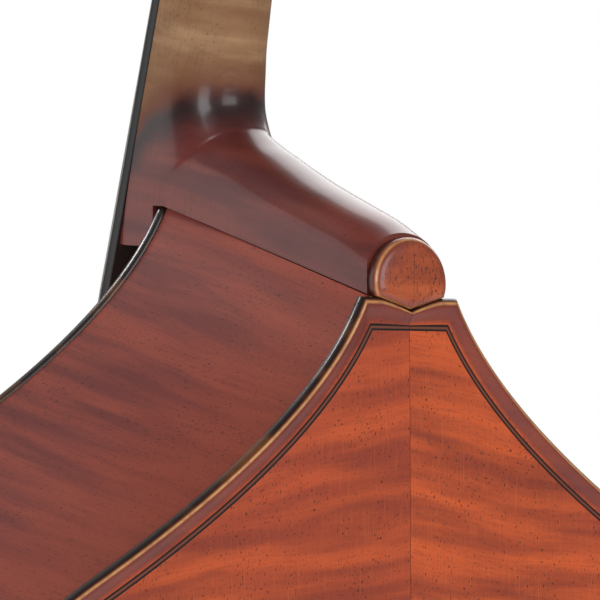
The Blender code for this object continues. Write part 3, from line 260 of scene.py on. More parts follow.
def joined(name, meshes):
    """Several meshes as the shells of one."""
    work = bmesh.new()
    for mesh in meshes:
        work.from_mesh(mesh)
    result = bpy.data.meshes.new(name)
    work.to_mesh(result)
    work.free()
    return smooth_mesh(result)


def lengths(points):
    """The distance along a polyline at each of its points."""
    return np.concatenate([[0], np.cumsum(np.linalg.norm(np.diff(points, axis=0), axis=1))])


def wire(name, route, radius, sides):
    """A round wire along a route, with flat ends. Its grain runs along (x) and around (y)."""
    rows = np.array([tuple(p) for p in route], float)
    way = np.gradient(rows, axis=0)
    way /= np.maximum(np.linalg.norm(way, axis=1)[:, None], 1e-9)
    along = lengths(rows)
    side = np.cross(way[0], (0.13, 0.21, 0.97))
    sections, grain = [], []
    for i, (place, forward) in enumerate(zip(rows, way)):
        side = unit(side - forward * np.dot(side, forward))
        other = np.cross(forward, side)
        ring = []
        for k in range(sides):
            angle = 2 * math.pi * k / sides
            ring.append(place + radius * (side * math.cos(angle) + other * math.sin(angle)))
            grain.append((along[i], angle * radius, 0))
        sections.append(ring)
    return loft(name, sections, grain)


def bezier(start, handle_a, handle_b, end, count):
    """Points along a cubic curve, without its end."""
    a, b, c, d = (np.array(p, float) for p in (start, handle_a, handle_b, end))
    ts = np.arange(count) / count
    return [(1 - t) ** 3 * a + 3 * (1 - t) ** 2 * t * b + 3 * (1 - t) * t * t * c + t ** 3 * d
            for t in ts]


def spline_rows(rows, count):
    """Catmull-Rom rows through the given rows of numbers, evenly spaced between them."""
    rows = np.array(rows, float)
    padded = np.concatenate([[2 * rows[0] - rows[1]], rows, [2 * rows[-1] - rows[-2]]])
    result = []
    for place in np.linspace(0, len(rows) - 1, count):
        i = min(int(place), len(rows) - 2)
        t = place - i
        a, b, c, d = padded[i:i + 4]
        result.append(0.5 * (2 * b + (c - a) * t + (2 * a - 5 * b + 4 * c - d) * t * t
                             + (3 * b - a - 3 * c + d) * t ** 3))
    return np.array(result)


def on_neck(along, x=0.0, depth=0.0):
    """World place of a point along the neck, sideways, and behind the glue plane."""
    return NECK_ROOT + Vector((x, along * SIN + depth * COS, along * COS - depth * SIN))


NECK_MATRIX = Matrix.Translation(NECK_ROOT) @ Matrix.Rotation(-NECK_ANGLE, 4, "X")


# ---------------------------------------------------------------- outline of the plates
# Places on it are (half width, drop).
UPPER_TIP = (0.240, 0.418)
UPPER_TIP_INNER = (0.236, 0.427)
LOWER_TIP_INNER = (0.278, 0.668)
LOWER_TIP = (0.285, 0.679)
UPPER_BOUT, UPPER_HOLLOW = (0.262, 0.215), (0.2235, 0.388)
WAIST = (0.183, 0.525)
LOWER_HOLLOW, LOWER_BOUT = (0.268, 0.733), (0.332, 0.885)
SHOULDER_END = 0.135
SHOULDER_BLEND = (0.14, 0.28)      # where the back's outline joins the belly's: start, length


def smoothstep(value, start, length):
    """0 before the start, rising smoothly to 1 over the length."""
    share = np.clip((value - start) / length, 0, 1)
    return share * share * (3 - 2 * share)


def shoulder_width(drop):
    """The half width of the sloping shoulders."""
    return 0.0301 + 0.476 * drop + 6.79 * drop ** 2 - 7.99 * drop ** 3


def half_outline():
    """Upper bout, waist and lower bout as closely spaced (half width, drop) points."""
    bottom = (0, BODY_LENGTH)
    shoulder = (shoulder_width(SHOULDER_END), SHOULDER_END)
    upper = [np.array((shoulder_width(s), s)) for s in np.linspace(0, SHOULDER_END, 60)[:-1]]
    upper += bezier(shoulder, (0.238, 0.1565), (0.262, 0.176), UPPER_BOUT, 40)
    upper += bezier(UPPER_BOUT, (0.262, 0.290), (0.2235, 0.345), UPPER_HOLLOW, 40)
    upper += bezier(UPPER_HOLLOW, (0.2235, 0.400), (0.231, 0.410), UPPER_TIP, 20)
    waist = bezier(UPPER_TIP_INNER, (0.205, 0.425), (0.183, 0.465), WAIST, 40)
    waist += bezier(WAIST, (0.183, 0.600), (0.215, 0.655), LOWER_TIP_INNER, 40)
    lower = bezier(LOWER_TIP, (0.275, 0.691), (0.268, 0.712), LOWER_HOLLOW, 24)
    lower += bezier(LOWER_HOLLOW, (0.268, 0.790), (0.332, 0.820), LOWER_BOUT, 40)
    lower += bezier(LOWER_BOUT, (0.332, 1.020), (0.200, BODY_LENGTH), bottom, 60)
    ends = (upper, UPPER_TIP), (waist, LOWER_TIP_INNER), (lower, bottom)
    return [np.array(part + [np.array(end)]) for part, end in ends]


def back_shear(drop):
    """How much lower the back's outline lies than the belly's: only at the shoulders."""
    return BACK_TOP_DROP * (1 - smoothstep(drop, *SHOULDER_BLEND))


def sheared(points):
    """The belly's outline turned into the back's."""
    return np.stack([points[:, 0], points[:, 1] + back_shear(points[:, 1])], axis=1)


def back_plane(drop):
    """The y of the back's outside: flat, and leaning in above the bend."""
    return BACK_Y - math.tan(BACK_TILT) * np.maximum(0, BEND_DROP - drop)


def inset(points, distance):
    """The polyline shifted sideways, towards the plate's inside."""
    way = np.gradient(points, axis=0)
    way /= np.linalg.norm(way, axis=1)[:, None]
    return points + np.stack([-way[:, 1], way[:, 0]], axis=1) * distance


def resampled(points, count):
    """The polyline as evenly spaced points."""
    along = lengths(points)
    places = np.linspace(0, along[-1], count)
    columns = [np.interp(places, along, column) for column in points.T]
    return np.stack(columns, axis=1)


def clipped(points, corner, normal):
    """The stretch of a polyline on the positive side of a line."""
    side = (points - corner) @ normal
    kept = []
    for i, point in enumerate(points):
        if side[i] >= 0:
            kept.append(point)
        if i + 1 < len(points) and (side[i] >= 0) != (side[i + 1] >= 0):
            kept.append(point + (points[i + 1] - point) * side[i] / (side[i] - side[i + 1]))
    return np.array(kept)


def mitre(first, second):
    """A plate corner: its tip, and the direction into the plate that halves it."""
    tip = (first[-1] + second[0]) / 2
    arms = [first[-9] - first[-1], second[8] - second[0]]
    return tip, unit(unit(arms[0]) + unit(arms[1]))


def corner_clipped(points, corner, distance):
    """Cuts an inset line at a corner: on its side of the mitre, and inside the blunt tip."""
    tip, inward = corner
    normal = np.array((-inward[1], inward[0]))
    normal = normal * np.sign((points[len(points) // 2] - tip) @ normal)
    return clipped(clipped(points, tip, normal), tip + inward * distance, inward)


PART_COUNTS = (150, 80, 140)       # points along the upper bout, the waist and the lower bout
TOP_COUNT = 14


def half_ring(parts, distance, top_line):
    """One ring of a plate half, inset: its top edge, then the three stretches."""
    upper, waist, lower = (inset(part, distance) for part in parts)
    corners = mitre(parts[0], parts[1]), mitre(parts[1], parts[2])
    upper = corner_clipped(upper, corners[0], distance)
    waist = corner_clipped(corner_clipped(waist, corners[0], distance), corners[1], distance)
    lower = corner_clipped(lower, corners[1], distance)
    below = upper[:, 1] - np.array([top_line(x, distance) for x in upper[:, 0]])
    first = int(np.argmax(below > 0))
    if first > 0:
        share = below[first] / (below[first] - below[first - 1])
        start = upper[first] + (upper[first - 1] - upper[first]) * share
        upper = np.concatenate([[start], upper[first:]])
    else:
        step = (upper[1] - upper[0]) / (upper[1][1] - upper[0][1])
        upper[0] = upper[0] - step * below[0]
    top = [(x, top_line(x, distance)) for x in np.linspace(0, upper[0][0], TOP_COUNT)[:-1]]
    stretches = zip((upper, waist, lower), PART_COUNTS)
    return np.concatenate([np.array(top)] + [resampled(part, n) for part, n in stretches])


# The carved edge, as (distance in from the outline, height): round side, bead, channel.
EDGE_PROFILE = ((0.0007, -0.0065), (0.0000, -0.0058), (0.0000, -0.0030), (0.0004, -0.0016),
                (0.0012, -0.0006), (0.0022, -0.0001), (0.0032, 0.0000), (0.0044, -0.0004),
                (0.0056, -0.0011), (0.0070, -0.0018), (0.0086, -0.0023), (0.0100, -0.0025),
                (0.0112, -0.0025), (0.0118, -0.0025), (0.0126, -0.0025), (0.0136, -0.0024),
                (0.0160, -0.0023))
PURFLING_AT = 0.0116
UNDER_RIM = -0.004                 # the "edge" value below the rim, and the height it starts at
TOP_V_DEPTH, TOP_V_HALF = 0.0062, 0.0200
TOP_EDGE_GAP, TOP_STRAIGHT = 0.0010, 0.0150


def edge_mark(distance, height):
    """The "edge" value of a point of the profile."""
    return distance if height > UNDER_RIM or distance > 0.001 else UNDER_RIM


def back_top_line(x, distance):
    """The back's top edge: a shallow V under the button that straightens by the purfling."""
    shape = BACK_TOP_DROP + TOP_EDGE_GAP + TOP_V_DEPTH * max(0, 1 - abs(x) / TOP_V_HALF) ** 1.25
    straight = BACK_TOP_DROP + TOP_STRAIGHT
    share = min(distance / PURFLING_AT, 1)
    return shape + (straight - shape) * share + max(0, distance - PURFLING_AT)


def belly_top_line(_, distance):
    """The belly's top edge: straight across."""
    return distance


def make_back(side, label, material):
    """A half of the back with its carved edge, built flat, split at the bend, then bent."""
    parts = [sheared(part) for part in half_outline()]
    rings = [half_ring(parts, distance, back_top_line) for distance, _ in EDGE_PROFILE]
    count = len(rings[0])
    points, grain, edge = [], [], []
    for (distance, height), ring in zip(EDGE_PROFILE, rings):
        for x, drop in ring:
            x = max(x, PLATE_SEAM)
            points.append((side * x, height, NECK_Z - drop))
            grain.append((side * x, drop, 0.37 * side))
            edge.append(edge_mark(distance, height))
    faces = grid_faces(len(rings), count)
    last = (len(rings) - 1) * count
    faces.append(tuple(range(last, last + count)))
    faces.append(tuple(reversed(range(count))))
    seam = [r * count for r in range(len(rings))]
    faces.append(tuple(seam))
    faces.append(tuple(reversed([s + count - 1 for s in seam])))
    mesh = mesh_of("back", points, faces, grain, {"edge": edge})
    with editing(mesh) as work:
        bmesh.ops.remove_doubles(work, verts=work.verts, dist=WELD)
        bmesh.ops.triangulate(work, faces=[f for f in work.faces if len(f.verts) > 4])
        bmesh.ops.bisect_plane(work, geom=work.verts[:] + work.edges[:] + work.faces[:],
                               plane_co=(0, 0, NECK_Z - BEND_DROP), plane_no=(0, 0, 1))
        for vertex in work.verts:
            vertex.co.y += back_plane(NECK_Z - vertex.co.z)
        bmesh.ops.recalc_face_normals(work, faces=work.faces)
    mesh = smooth_mesh(mesh, math.radians(50))
    return piece("back_plate_" + label, mesh, material, ["back_" + label])


BUTTON_HALF_WIDTH = 0.0235
BUTTON_HEIGHT = 0.0280
BUTTON_CENTRE = -0.0060            # drop of the round's centre, from the back's top
BUTTON_CORNER = (0.0222, 0.0006)
BUTTON_V = 0.0068
BUTTON_PROFILE = ((0.0004, -0.0062), (0.0, -0.0058), (0.0, -0.0022), (0.0006, -0.0013),
                  (0.0016, -0.0004), (0.0026, 0.0002), (0.0045, 0.0006), (0.0075, 0.0009),
                  (0.0120, 0.0011))
BUTTON_GRAIN = 0.11                # where its wood is cut from


def button_outline(distance):
    """The button's rim, inset: from the foot of its V up the side to its top, one half."""
    round_part = []
    for angle in np.linspace(0, math.radians(100), 60):
        x = BUTTON_HALF_WIDTH * math.sin(angle)
        round_part.append((x, BUTTON_CENTRE - (BUTTON_HEIGHT + BUTTON_CENTRE) * math.cos(angle)))
    shifted = inset(np.array(round_part + [BUTTON_CORNER]), distance)[::-1]
    foot = np.array((0.0, BUTTON_V - distance * 0.6))
    corner = shifted[0]
    chord = [foot + (corner - foot) * t for t in np.linspace(0, 1, 24)[:-1]]
    return np.concatenate([chord, shifted])


def make_button(material):
    """The round tab at the back's top that covers the heel: domed, with a chamfered rim."""
    points, grain, edge = [], [], []
    ring_size = 2 * len(button_outline(0)) - 2
    for distance, height in BUTTON_PROFILE:
        right = button_outline(distance)
        left = [np.array((-x, d)) for x, d in right[-2:0:-1]]
        for x, drop in list(right) + left:
            drop += BACK_TOP_DROP
            points.append((x, float(back_plane(drop)) + height, NECK_Z - drop))
            grain.append((x, drop, BUTTON_GRAIN))
            edge.append(edge_mark(distance, height))
    faces = grid_faces(len(BUTTON_PROFILE), ring_size, True)
    last = (len(BUTTON_PROFILE) - 1) * ring_size
    centre = np.mean([points[last + i] for i in range(ring_size)], axis=0)
    points.append(tuple(centre + np.array((0, 0.0001, 0))))
    grain.append((0, NECK_Z - centre[2], BUTTON_GRAIN))
    edge.append(0.015)
    faces += [(last + i, last + (i + 1) % ring_size, len(points) - 1) for i in range(ring_size)]
    faces.append(tuple(range(ring_size)))
    mesh = outward(mesh_of("button", points, faces, grain, {"edge": edge}))
    return piece("back_button", smooth_mesh(mesh, math.radians(50)), material)


# ---------------------------------------------------------------- node materials
class Shading:
    """A procedural material: a Principled shader and short calls for the nodes before it."""

    def __init__(self, name, roughness, metallic=0.0, coat=0.0, coat_roughness=0.1,
                 specular=0.5):
        self.material = bpy.data.materials.new(name)
        self.material.use_nodes = True
        self.tree = self.material.node_tree
        self.shader = self.tree.nodes["Principled BSDF"]
        settings = {"Roughness": roughness, "Metallic": metallic, "Coat Weight": coat,
                    "Coat Roughness": coat_roughness, "Specular IOR Level": specular}
        for key, value in settings.items():
            self.shader.inputs[key].default_value = value

    def put(self, socket, value):
        """Links or sets a socket."""
        if isinstance(value, bpy.types.NodeSocket):
            self.tree.links.new(value, socket)
        else:
            socket.default_value = value

    def node(self, kind, **settings):
        """A new node with its settings."""
        made = self.tree.nodes.new(kind)
        for key, value in settings.items():
            setattr(made, key, value)
        return made

    def attribute(self, name):
        """A value kept in the mesh."""
        return self.node("ShaderNodeAttribute", attribute_name=name)

    def grain(self):
        """The wood's own coordinate."""
        return self.attribute("grain").outputs["Vector"]

    def place(self):
        """The coordinate on the object."""
        return self.node("ShaderNodeTexCoord").outputs["Object"]

    def math(self, operation, first, second=0.0):
        """The result of a calculation with one or two values."""
        made = self.node("ShaderNodeMath", operation=operation)
        for socket, value in zip(made.inputs, (first, second)):
            self.put(socket, value)
        return made.outputs[0]

    def scaled(self, vector, scale, offset):
        """The vector scaled along each axis, then shifted."""
        made = self.node("ShaderNodeMapping")
        self.put(made.inputs["Vector"], vector)
        made.inputs["Scale"].default_value = scale
        made.inputs["Location"].default_value = offset
        return made.outputs[0]

    def noise(self, vector, scale, detail, roughness=0.5, offset=(0, 0, 0)):
        """Noise from 0 to 1: its scale along each axis per metre, and its octaves of detail."""
        made = self.node("ShaderNodeTexNoise")
        self.put(made.inputs["Vector"], self.scaled(vector, scale, offset))
        for key, value in (("Scale", 1.0), ("Detail", detail), ("Roughness", roughness)):
            made.inputs[key].default_value = value
        return made.outputs["Fac"]

    def span(self, value, low, high, out_low=0.0, out_high=1.0):
        """Smoothly from one output to the other as the value goes from low to high."""
        made = self.node("ShaderNodeMapRange", interpolation_type="SMOOTHSTEP")
        for socket, number in zip(made.inputs, (value, low, high, out_low, out_high)):
            self.put(socket, number)
        return made.outputs[0]

    def band(self, value, low, high, soft):
        """1 between low and high, falling to 0 over a soft distance either side."""
        rising = self.span(value, low - soft, low + soft)
        falling = self.span(value, high - soft, high + soft, 1.0, 0.0)
        return self.math("MULTIPLY", rising, falling)

    def tint(self, base, colour, share, amount):
        """The base with an amount of a colour where the share is high."""
        return self.mix(self.math("MULTIPLY", share, amount), base, colour)

    def mix(self, share, first, second):
        """The first colour where the share is 0, the second where it is 1."""
        made = self.node("ShaderNodeMix", data_type="RGBA")
        self.put(made.inputs[0], share)
        for socket, value in zip((made.inputs[6], made.inputs[7]), (first, second)):
            self.put(socket, (*value, 1.0) if isinstance(value, tuple) else value)
        return made.outputs[2]

    def split(self, vector):
        """A vector's x, y and z."""
        made = self.node("ShaderNodeSeparateXYZ")
        self.put(made.inputs[0], vector)
        return made.outputs

    def join(self, x, y, z):
        """A vector from x, y and z."""
        made = self.node("ShaderNodeCombineXYZ")
        for socket, value in zip(made.inputs, (x, y, z)):
            self.put(socket, value)
        return made.outputs[0]

    def bump(self, height, distance, strength=1.0):
        """A normal raised by a height."""
        made = self.node("ShaderNodeBump")
        self.put(made.inputs["Height"], height)
        made.inputs["Distance"].default_value = distance
        made.inputs["Strength"].default_value = strength
        return made.outputs[0]

    def finish(self, colour, roughness=None, normal=None, coat_normal=None):
        """The material, with these inputs joined to the shader."""
        inputs = {"Base Color": colour, "Roughness": roughness, "Normal": normal,
                  "Coat Normal": coat_normal}
        for key, value in inputs.items():
            if value is not None:
                self.put(self.shader.inputs[key], value)
        return self.material


def srgb(red, green, blue):
    """A colour as seen, 0 to 255, in the linear numbers that shaders take."""
    return tuple(((c / 255 + 0.055) / 1.055) ** 2.4 if c > 10 else c / 3294.6
                 for c in (red, green, blue))


def maple_pattern(s, grain, flame_scale, tilt=0.0, mirrored=False, pores=1.0):
    """Flame, streaks, fibres and pores of maple, 0 to 1; grain is (across, along, offset)."""
    across, along, offset = s.split(grain)
    lean = s.math("ABSOLUTE", across) if mirrored else across
    along = s.math("SUBTRACT", along, s.math("MULTIPLY", lean, tilt))
    warped = s.join(across, along, offset)
    wobble = s.noise(warped, (9, 14, 7), 2.0)
    along_wavy = s.math("ADD", along, s.math("MULTIPLY", wobble, 0.020))
    waved = s.join(across, along_wavy, offset)
    broad = s.noise(waved, (7, flame_scale, 9), 2.0, 0.45)
    narrow = s.noise(waved, (16, flame_scale * 2.6, 9), 2.0, 0.5, offset=(0.4, 0.1, 0))
    flame = s.math("ADD", s.math("MULTIPLY", broad, 0.68), s.math("MULTIPLY", narrow, 0.32))
    streaks = s.noise(waved, (60, 900, 3), 2.0, 0.6)
    fibres = s.noise(warped, (1100, 45, 3), 2.0, 0.6)
    dashes = s.noise(warped, (1300, 520, 5), 1.0, 0.5, offset=(0.2, 0.7, 0))
    clusters = s.noise(warped, (38, 30, 5), 2.0, offset=(0.5, 0.2, 0))
    limit = s.math("SUBTRACT", 0.735, s.math("MULTIPLY", clusters, 0.13 * pores))
    dark = s.span(s.math("SUBTRACT", dashes, limit), 0.0, 0.035)
    return flame, streaks, fibres, dark


# ---------------------------------------------------------------- materials
PURFLING_LINES = (0.0110, 0.0131)
PURFLING_HALF = 0.00048
INK = (0.006, 0.004, 0.004)


def plate_edge(s, colour):
    """A plate's colour with its edge: dark side, a crest partly rubbed pale and partly a painted
    highlight, a mauve channel of painted sheen, two black lines.
    """
    edge = s.attribute("edge").outputs["Fac"]
    grain = s.grain()
    patches = s.noise(grain, (30, 30, 30), 3.0)
    fine = s.noise(grain, (190, 190, 190), 3.0)
    side = s.mix(s.span(patches, 0.50, 0.72), srgb(34, 17, 12), srgb(112, 66, 30))
    # The channel's darker mauve tone is painted sheen on its sloping face.
    painted_channel_sheen = s.mix(s.span(patches, 0.35, 0.65), srgb(92, 40, 40), srgb(112, 46, 36))
    colour = s.mix(s.span(edge, 0.0112, 0.0078, 0.0, 0.80), colour, painted_channel_sheen)
    # Cream on the bead's crest: partly varnish rubbed pale, partly a painted highlight along the crest.
    wear_and_highlight_colour = s.mix(patches, srgb(188, 118, 58), srgb(230, 182, 122))
    crest = s.band(edge, 0.0014, 0.0024, 0.0006)
    wear_and_highlight = s.math("MULTIPLY", crest, s.span(fine, 0.20, 0.62, 0.45, 1.0))
    colour = s.mix(wear_and_highlight, colour, wear_and_highlight_colour)
    colour = s.mix(s.span(edge, 0.0015, 0.0006), colour, side)
    between = s.band(edge, PURFLING_LINES[0], PURFLING_LINES[1], 0.0001)
    colour = s.mix(between, colour, srgb(112, 60, 44))
    for line in PURFLING_LINES:
        inked = s.band(edge, line - PURFLING_HALF, line + PURFLING_HALF, 0.00012)
        colour = s.mix(inked, colour, INK)
    return colour


def varnish_normals(s, grain, fibre_height, depth=0.00004):
    """Fine fibre relief under the varnish, and the varnish's own gentle unevenness."""
    waves = s.noise(grain, (55, 55, 55), 2.0, offset=(0.3, 0.3, 0.3))
    return s.bump(fibre_height, depth, 0.5), s.bump(waves, 0.0004, 0.10)


def varnished_plate(name, light, dark):
    """The flat maple of the back."""
    s = Shading(name, roughness=0.45, coat=0.35, coat_roughness=0.15, specular=0.22)
    grain = s.grain()
    flame, streaks, fibres, dark_pores = maple_pattern(s, grain, 62.0, 0.13, True)
    base = s.mix(s.span(flame, 0.34, 0.66), dark, light)
    hue = s.noise(grain, (9, 7, 9), 2.0)
    base = s.tint(base, srgb(186, 78, 50), s.span(hue, 0.40, 0.70), 0.30)
    base = s.tint(base, dark, s.span(streaks, 0.45, 0.75), 0.34)
    base = s.tint(base, srgb(214, 112, 62), s.span(fibres, 0.50, 0.80), 0.30)
    across = s.split(grain)[0]
    base = s.mix(s.span(across, -0.0004, 0.0004, 0.0, 0.16), base, srgb(150, 60, 38))
    base = s.tint(base, srgb(56, 20, 12), dark_pores, 0.95)
    colour = plate_edge(s, base)
    normal, coat = varnish_normals(s, grain, s.math("SUBTRACT", fibres, dark_pores))
    return s.finish(colour, None, normal, coat)


def button_maple(name):
    """The button: orange maple full of pores, mauve up its left as painted sheen, with a cream rim
    partly rubbed pale and partly a painted highlight.
    """
    s = Shading(name, roughness=0.38, coat=0.5, coat_roughness=0.14, specular=0.3)
    grain = s.grain()
    across, along, _ = s.split(grain)
    edge = s.attribute("edge").outputs["Fac"]
    flame, _, fibres, dark_pores = maple_pattern(s, grain, 80.0, pores=1.35)
    base = s.mix(s.span(flame, 0.40, 0.62), srgb(150, 66, 38), srgb(184, 88, 46))
    # Mauve up the dome's left: painted sheen on that side of the dome.
    turned = s.math("ADD", across, s.math("MULTIPLY", s.math("SUBTRACT", 0.022, along), 0.9))
    base = s.mix(s.span(turned, 0.004, 0.016, 0.0, 0.55), base, srgb(108, 48, 48))
    blotch = s.noise(grain, (160, 160, 10), 3.0, 0.6)
    base = s.tint(base, srgb(96, 40, 26), s.span(blotch, 0.55, 0.75), 0.5)
    base = s.tint(base, srgb(62, 24, 18), dark_pores, 0.75)
    base = s.mix(s.span(edge, 0.0052, 0.0030, 0.0, 0.45), base, srgb(120, 52, 36))
    # Cream on the rim's crest: partly varnish rubbed pale, partly a painted highlight.
    crest = s.band(edge, 0.0004, 0.0013, 0.0005)
    rim = s.math("MULTIPLY", crest, s.span(blotch, 0.2, 0.6, 0.4, 0.9))
    base = s.mix(rim, base, srgb(206, 146, 90))
    base = s.mix(s.span(edge, -0.0003, -0.0015), base, srgb(70, 34, 24))
    seam = s.band(across, -0.00016, 0.00016, 0.0001)
    base = s.tint(base, srgb(60, 24, 18), seam, 0.5)
    normal, coat = varnish_normals(s, grain, s.math("SUBTRACT", fibres, dark_pores), 0.00008)
    return s.finish(base, None, normal, coat)


def varnished_rib(name, light, dark):
    """The ribs' maple: soft slanting flame, fine striations across it and a few dark pores."""
    s = Shading(name, roughness=0.44, coat=0.45, coat_roughness=0.11, specular=0.25)
    grain = s.grain()
    along, across, offset = s.split(grain)
    slanted = s.join(s.math("ADD", across, s.math("MULTIPLY", along, 0.55)), along, offset)
    flame, streaks, _, dark_pores = maple_pattern(s, slanted, 60.0)
    base = s.mix(s.span(flame, 0.36, 0.66), dark, light)
    clouds = s.noise(grain, (6, 9, 5), 3.0)
    base = s.mix(s.span(clouds, 0.35, 0.70, 0.0, 0.35), base, srgb(126, 54, 50))
    warm = s.span(across, 0.05, 0.185)
    base = s.tint(base, srgb(158, 62, 32), warm, 0.75)
    lines = s.noise(grain, (1500, 30, 3), 2.0, 0.6)
    base = s.tint(base, srgb(84, 32, 27), s.span(lines, 0.45, 0.75), 0.38)
    base = s.tint(base, srgb(140, 70, 52), s.span(streaks, 0.5, 0.8), 0.16)
    base = s.tint(base, srgb(46, 17, 13), dark_pores, 0.80)
    normal, coat = varnish_normals(s, grain, lines, 0.00003)
    return s.finish(base, None, normal, coat)


def varnished_neck(name, light, dark, bare=False):
    """Neck maple: dark wine varnish, and bare oiled wood on the shaft when asked for."""
    s = Shading(name, roughness=0.40, coat=0.45, coat_roughness=0.17, specular=0.3)
    grain = s.grain()
    flame, _, fibres, dark_pores = maple_pattern(s, grain, 70.0)
    base = s.mix(s.span(flame, 0.36, 0.66), dark, light)
    base = s.tint(base, srgb(74, 28, 26), s.span(fibres, 0.45, 0.78), 0.40)
    base = s.tint(base, srgb(40, 14, 12), dark_pores, 0.45)
    normal, coat = varnish_normals(s, grain, fibres, 0.00003)
    if not bare:
        return s.finish(base, None, normal, coat)
    _, y, z = s.split(s.place())
    bulge = s.math("POWER", s.math("MAXIMUM", s.math("SUBTRACT", FRONT_Y + 0.033, y), 0.0), 2.0)
    limit = s.math("SUBTRACT", NECK_Z + 0.058, s.math("MULTIPLY", bulge, 9.6))
    ragged = s.math("MULTIPLY", s.math("SUBTRACT", s.noise(grain, (60, 60, 60), 3.0), 0.5), 0.012)
    over = s.math("ADD", s.math("SUBTRACT", z, limit), ragged)
    # Dark band just below the varnish's edge at the root: partly deeper dark varnish, partly painted
    # shade of the hollow where the shaft meets the heel.
    base = s.mix(s.band(over, -0.016, 0.002, 0.009), base, srgb(40, 14, 13))
    wood_noise = s.noise(grain, (26, 60, 14), 4.0, 0.6)
    bare_wood = s.mix(s.span(wood_noise, 0.30, 0.70), srgb(128, 90, 60), srgb(172, 134, 98))
    bare_wood = s.tint(bare_wood, srgb(134, 92, 60), s.span(flame, 0.42, 0.60), 0.55)
    bare_wood = s.tint(bare_wood, srgb(104, 74, 50), s.span(fibres, 0.50, 0.80), 0.45)
    bare_wood = s.tint(bare_wood, srgb(80, 56, 40), dark_pores, 0.5)
    stained = s.mix(s.span(over, 0.0, 0.024), srgb(112, 66, 44), bare_wood)
    is_bare = s.span(over, -0.004, 0.006)
    colour = s.mix(is_bare, base, stained)
    coated = s.math("SUBTRACT", 0.45, s.math("MULTIPLY", is_bare, 0.43))
    s.put(s.shader.inputs["Coat Weight"], coated)
    rough = s.math("ADD", 0.40, s.math("MULTIPLY", is_bare, 0.18))
    return s.finish(colour, rough, normal, coat)


def varnished_spruce(name):
    """Belly spruce: straight close grain lines along the body, under amber-brown varnish."""
    s = Shading(name, roughness=0.40, coat=0.55, coat_roughness=0.14, specular=0.35)
    grain = s.grain()
    across = s.split(grain)[0]
    drift = s.noise(grain, (3, 1.2, 1), 2.0)
    straight = s.math("ADD", across, s.math("MULTIPLY", drift, 0.006))
    rings = s.math("FRACT", s.math("MULTIPLY", s.math("ABSOLUTE", straight), 520.0))
    late = s.math("POWER", rings, 4.0)
    vary = s.noise(grain, (24, 3, 3), 3.0)
    base = s.mix(s.span(vary, 0.30, 0.70), srgb(168, 84, 40), srgb(196, 110, 54))
    base = s.tint(base, srgb(104, 44, 22), late, 0.52)
    silk = s.noise(grain, (120, 380, 3), 2.0)
    base = s.tint(base, srgb(222, 146, 82), s.span(silk, 0.55, 0.78), 0.14)
    colour = plate_edge(s, base)
    normal, coat = varnish_normals(s, grain, late, 0.00004)
    return s.finish(colour, None, normal, coat)


def plain_wood(name, light, dark, scale):
    """Unvarnished wood with straight lines along the axis of the smallest scale."""
    s = Shading(name, roughness=0.6, coat_roughness=0.2, specular=0.3)
    lines = s.noise(s.place(), scale, 3.0, 0.6)
    broad = s.noise(s.place(), (40, 40, 12), 3.0)
    base = s.mix(s.span(broad, 0.3, 0.7), light, tuple(0.78 * c for c in light))
    base = s.tint(base, dark, s.span(lines, 0.42, 0.72), 0.7)
    return s.finish(base, None, s.bump(lines, 0.00008, 0.4))


def bridge_maple(name):
    """Pale maple with small dark flecks."""
    s = Shading(name, roughness=0.52, specular=0.35)
    flecks = s.noise(s.place(), (260, 500, 900), 1.0)
    broad = s.noise(s.place(), (30, 60, 50), 3.0)
    base = s.mix(s.span(broad, 0.3, 0.7), srgb(214, 176, 124), srgb(232, 202, 154))
    base = s.tint(base, srgb(150, 100, 60), s.span(flecks, 0.62, 0.70), 0.55)
    return s.finish(base, None, s.bump(flecks, 0.00005, 0.5))


def ebony(name, roughness=0.36):
    """Black-brown ebony with faint paler lines."""
    s = Shading(name, roughness=roughness, specular=0.4)
    lines = s.noise(s.place(), (700, 500, 16), 3.0, 0.6)
    broad = s.noise(s.place(), (50, 50, 9), 3.0)
    base = s.mix(s.span(broad, 0.42, 0.70), srgb(22, 21, 22), srgb(38, 34, 33))
    base = s.tint(base, srgb(70, 58, 50), s.span(lines, 0.55, 0.78), 0.40)
    rough = s.math("ADD", roughness, s.math("MULTIPLY", lines, 0.10))
    return s.finish(base, rough, s.bump(lines, 0.00003, 0.5))


def metal(name, colour, roughness, brushed, tarnish):
    """Brushed metal with soft tarnish in patches; brushed is the scale of its fine lines."""
    s = Shading(name, roughness=roughness, metallic=1.0)
    lines = s.noise(s.place(), brushed, 2.0)
    patches = s.noise(s.place(), (60, 60, 60), 4.0, 0.6)
    base = s.mix(s.math("MULTIPLY", s.span(patches, 0.45, 0.75), 0.6), colour, tarnish)
    rough = s.math("ADD", roughness - 0.06, s.math("MULTIPLY", patches, 0.20))
    return s.finish(base, rough, s.bump(lines, 0.00002, 0.5))


def string_wire(name):
    """Flat-wound steel: fine turns round a core, seen as close rings."""
    s = Shading(name, roughness=0.30, metallic=1.0)
    along = s.split(s.grain())[0]
    turns = s.math("PINGPONG", s.math("MULTIPLY", along, 1800.0), 1.0)
    dirt = s.noise(s.grain(), (30, 300, 1), 3.0)
    base = s.mix(s.span(dirt, 0.40, 0.75), srgb(176, 174, 170), srgb(122, 118, 112))
    rough = s.math("ADD", 0.24, s.math("MULTIPLY", dirt, 0.18))
    return s.finish(base, rough, s.bump(turns, 0.00006, 0.6))


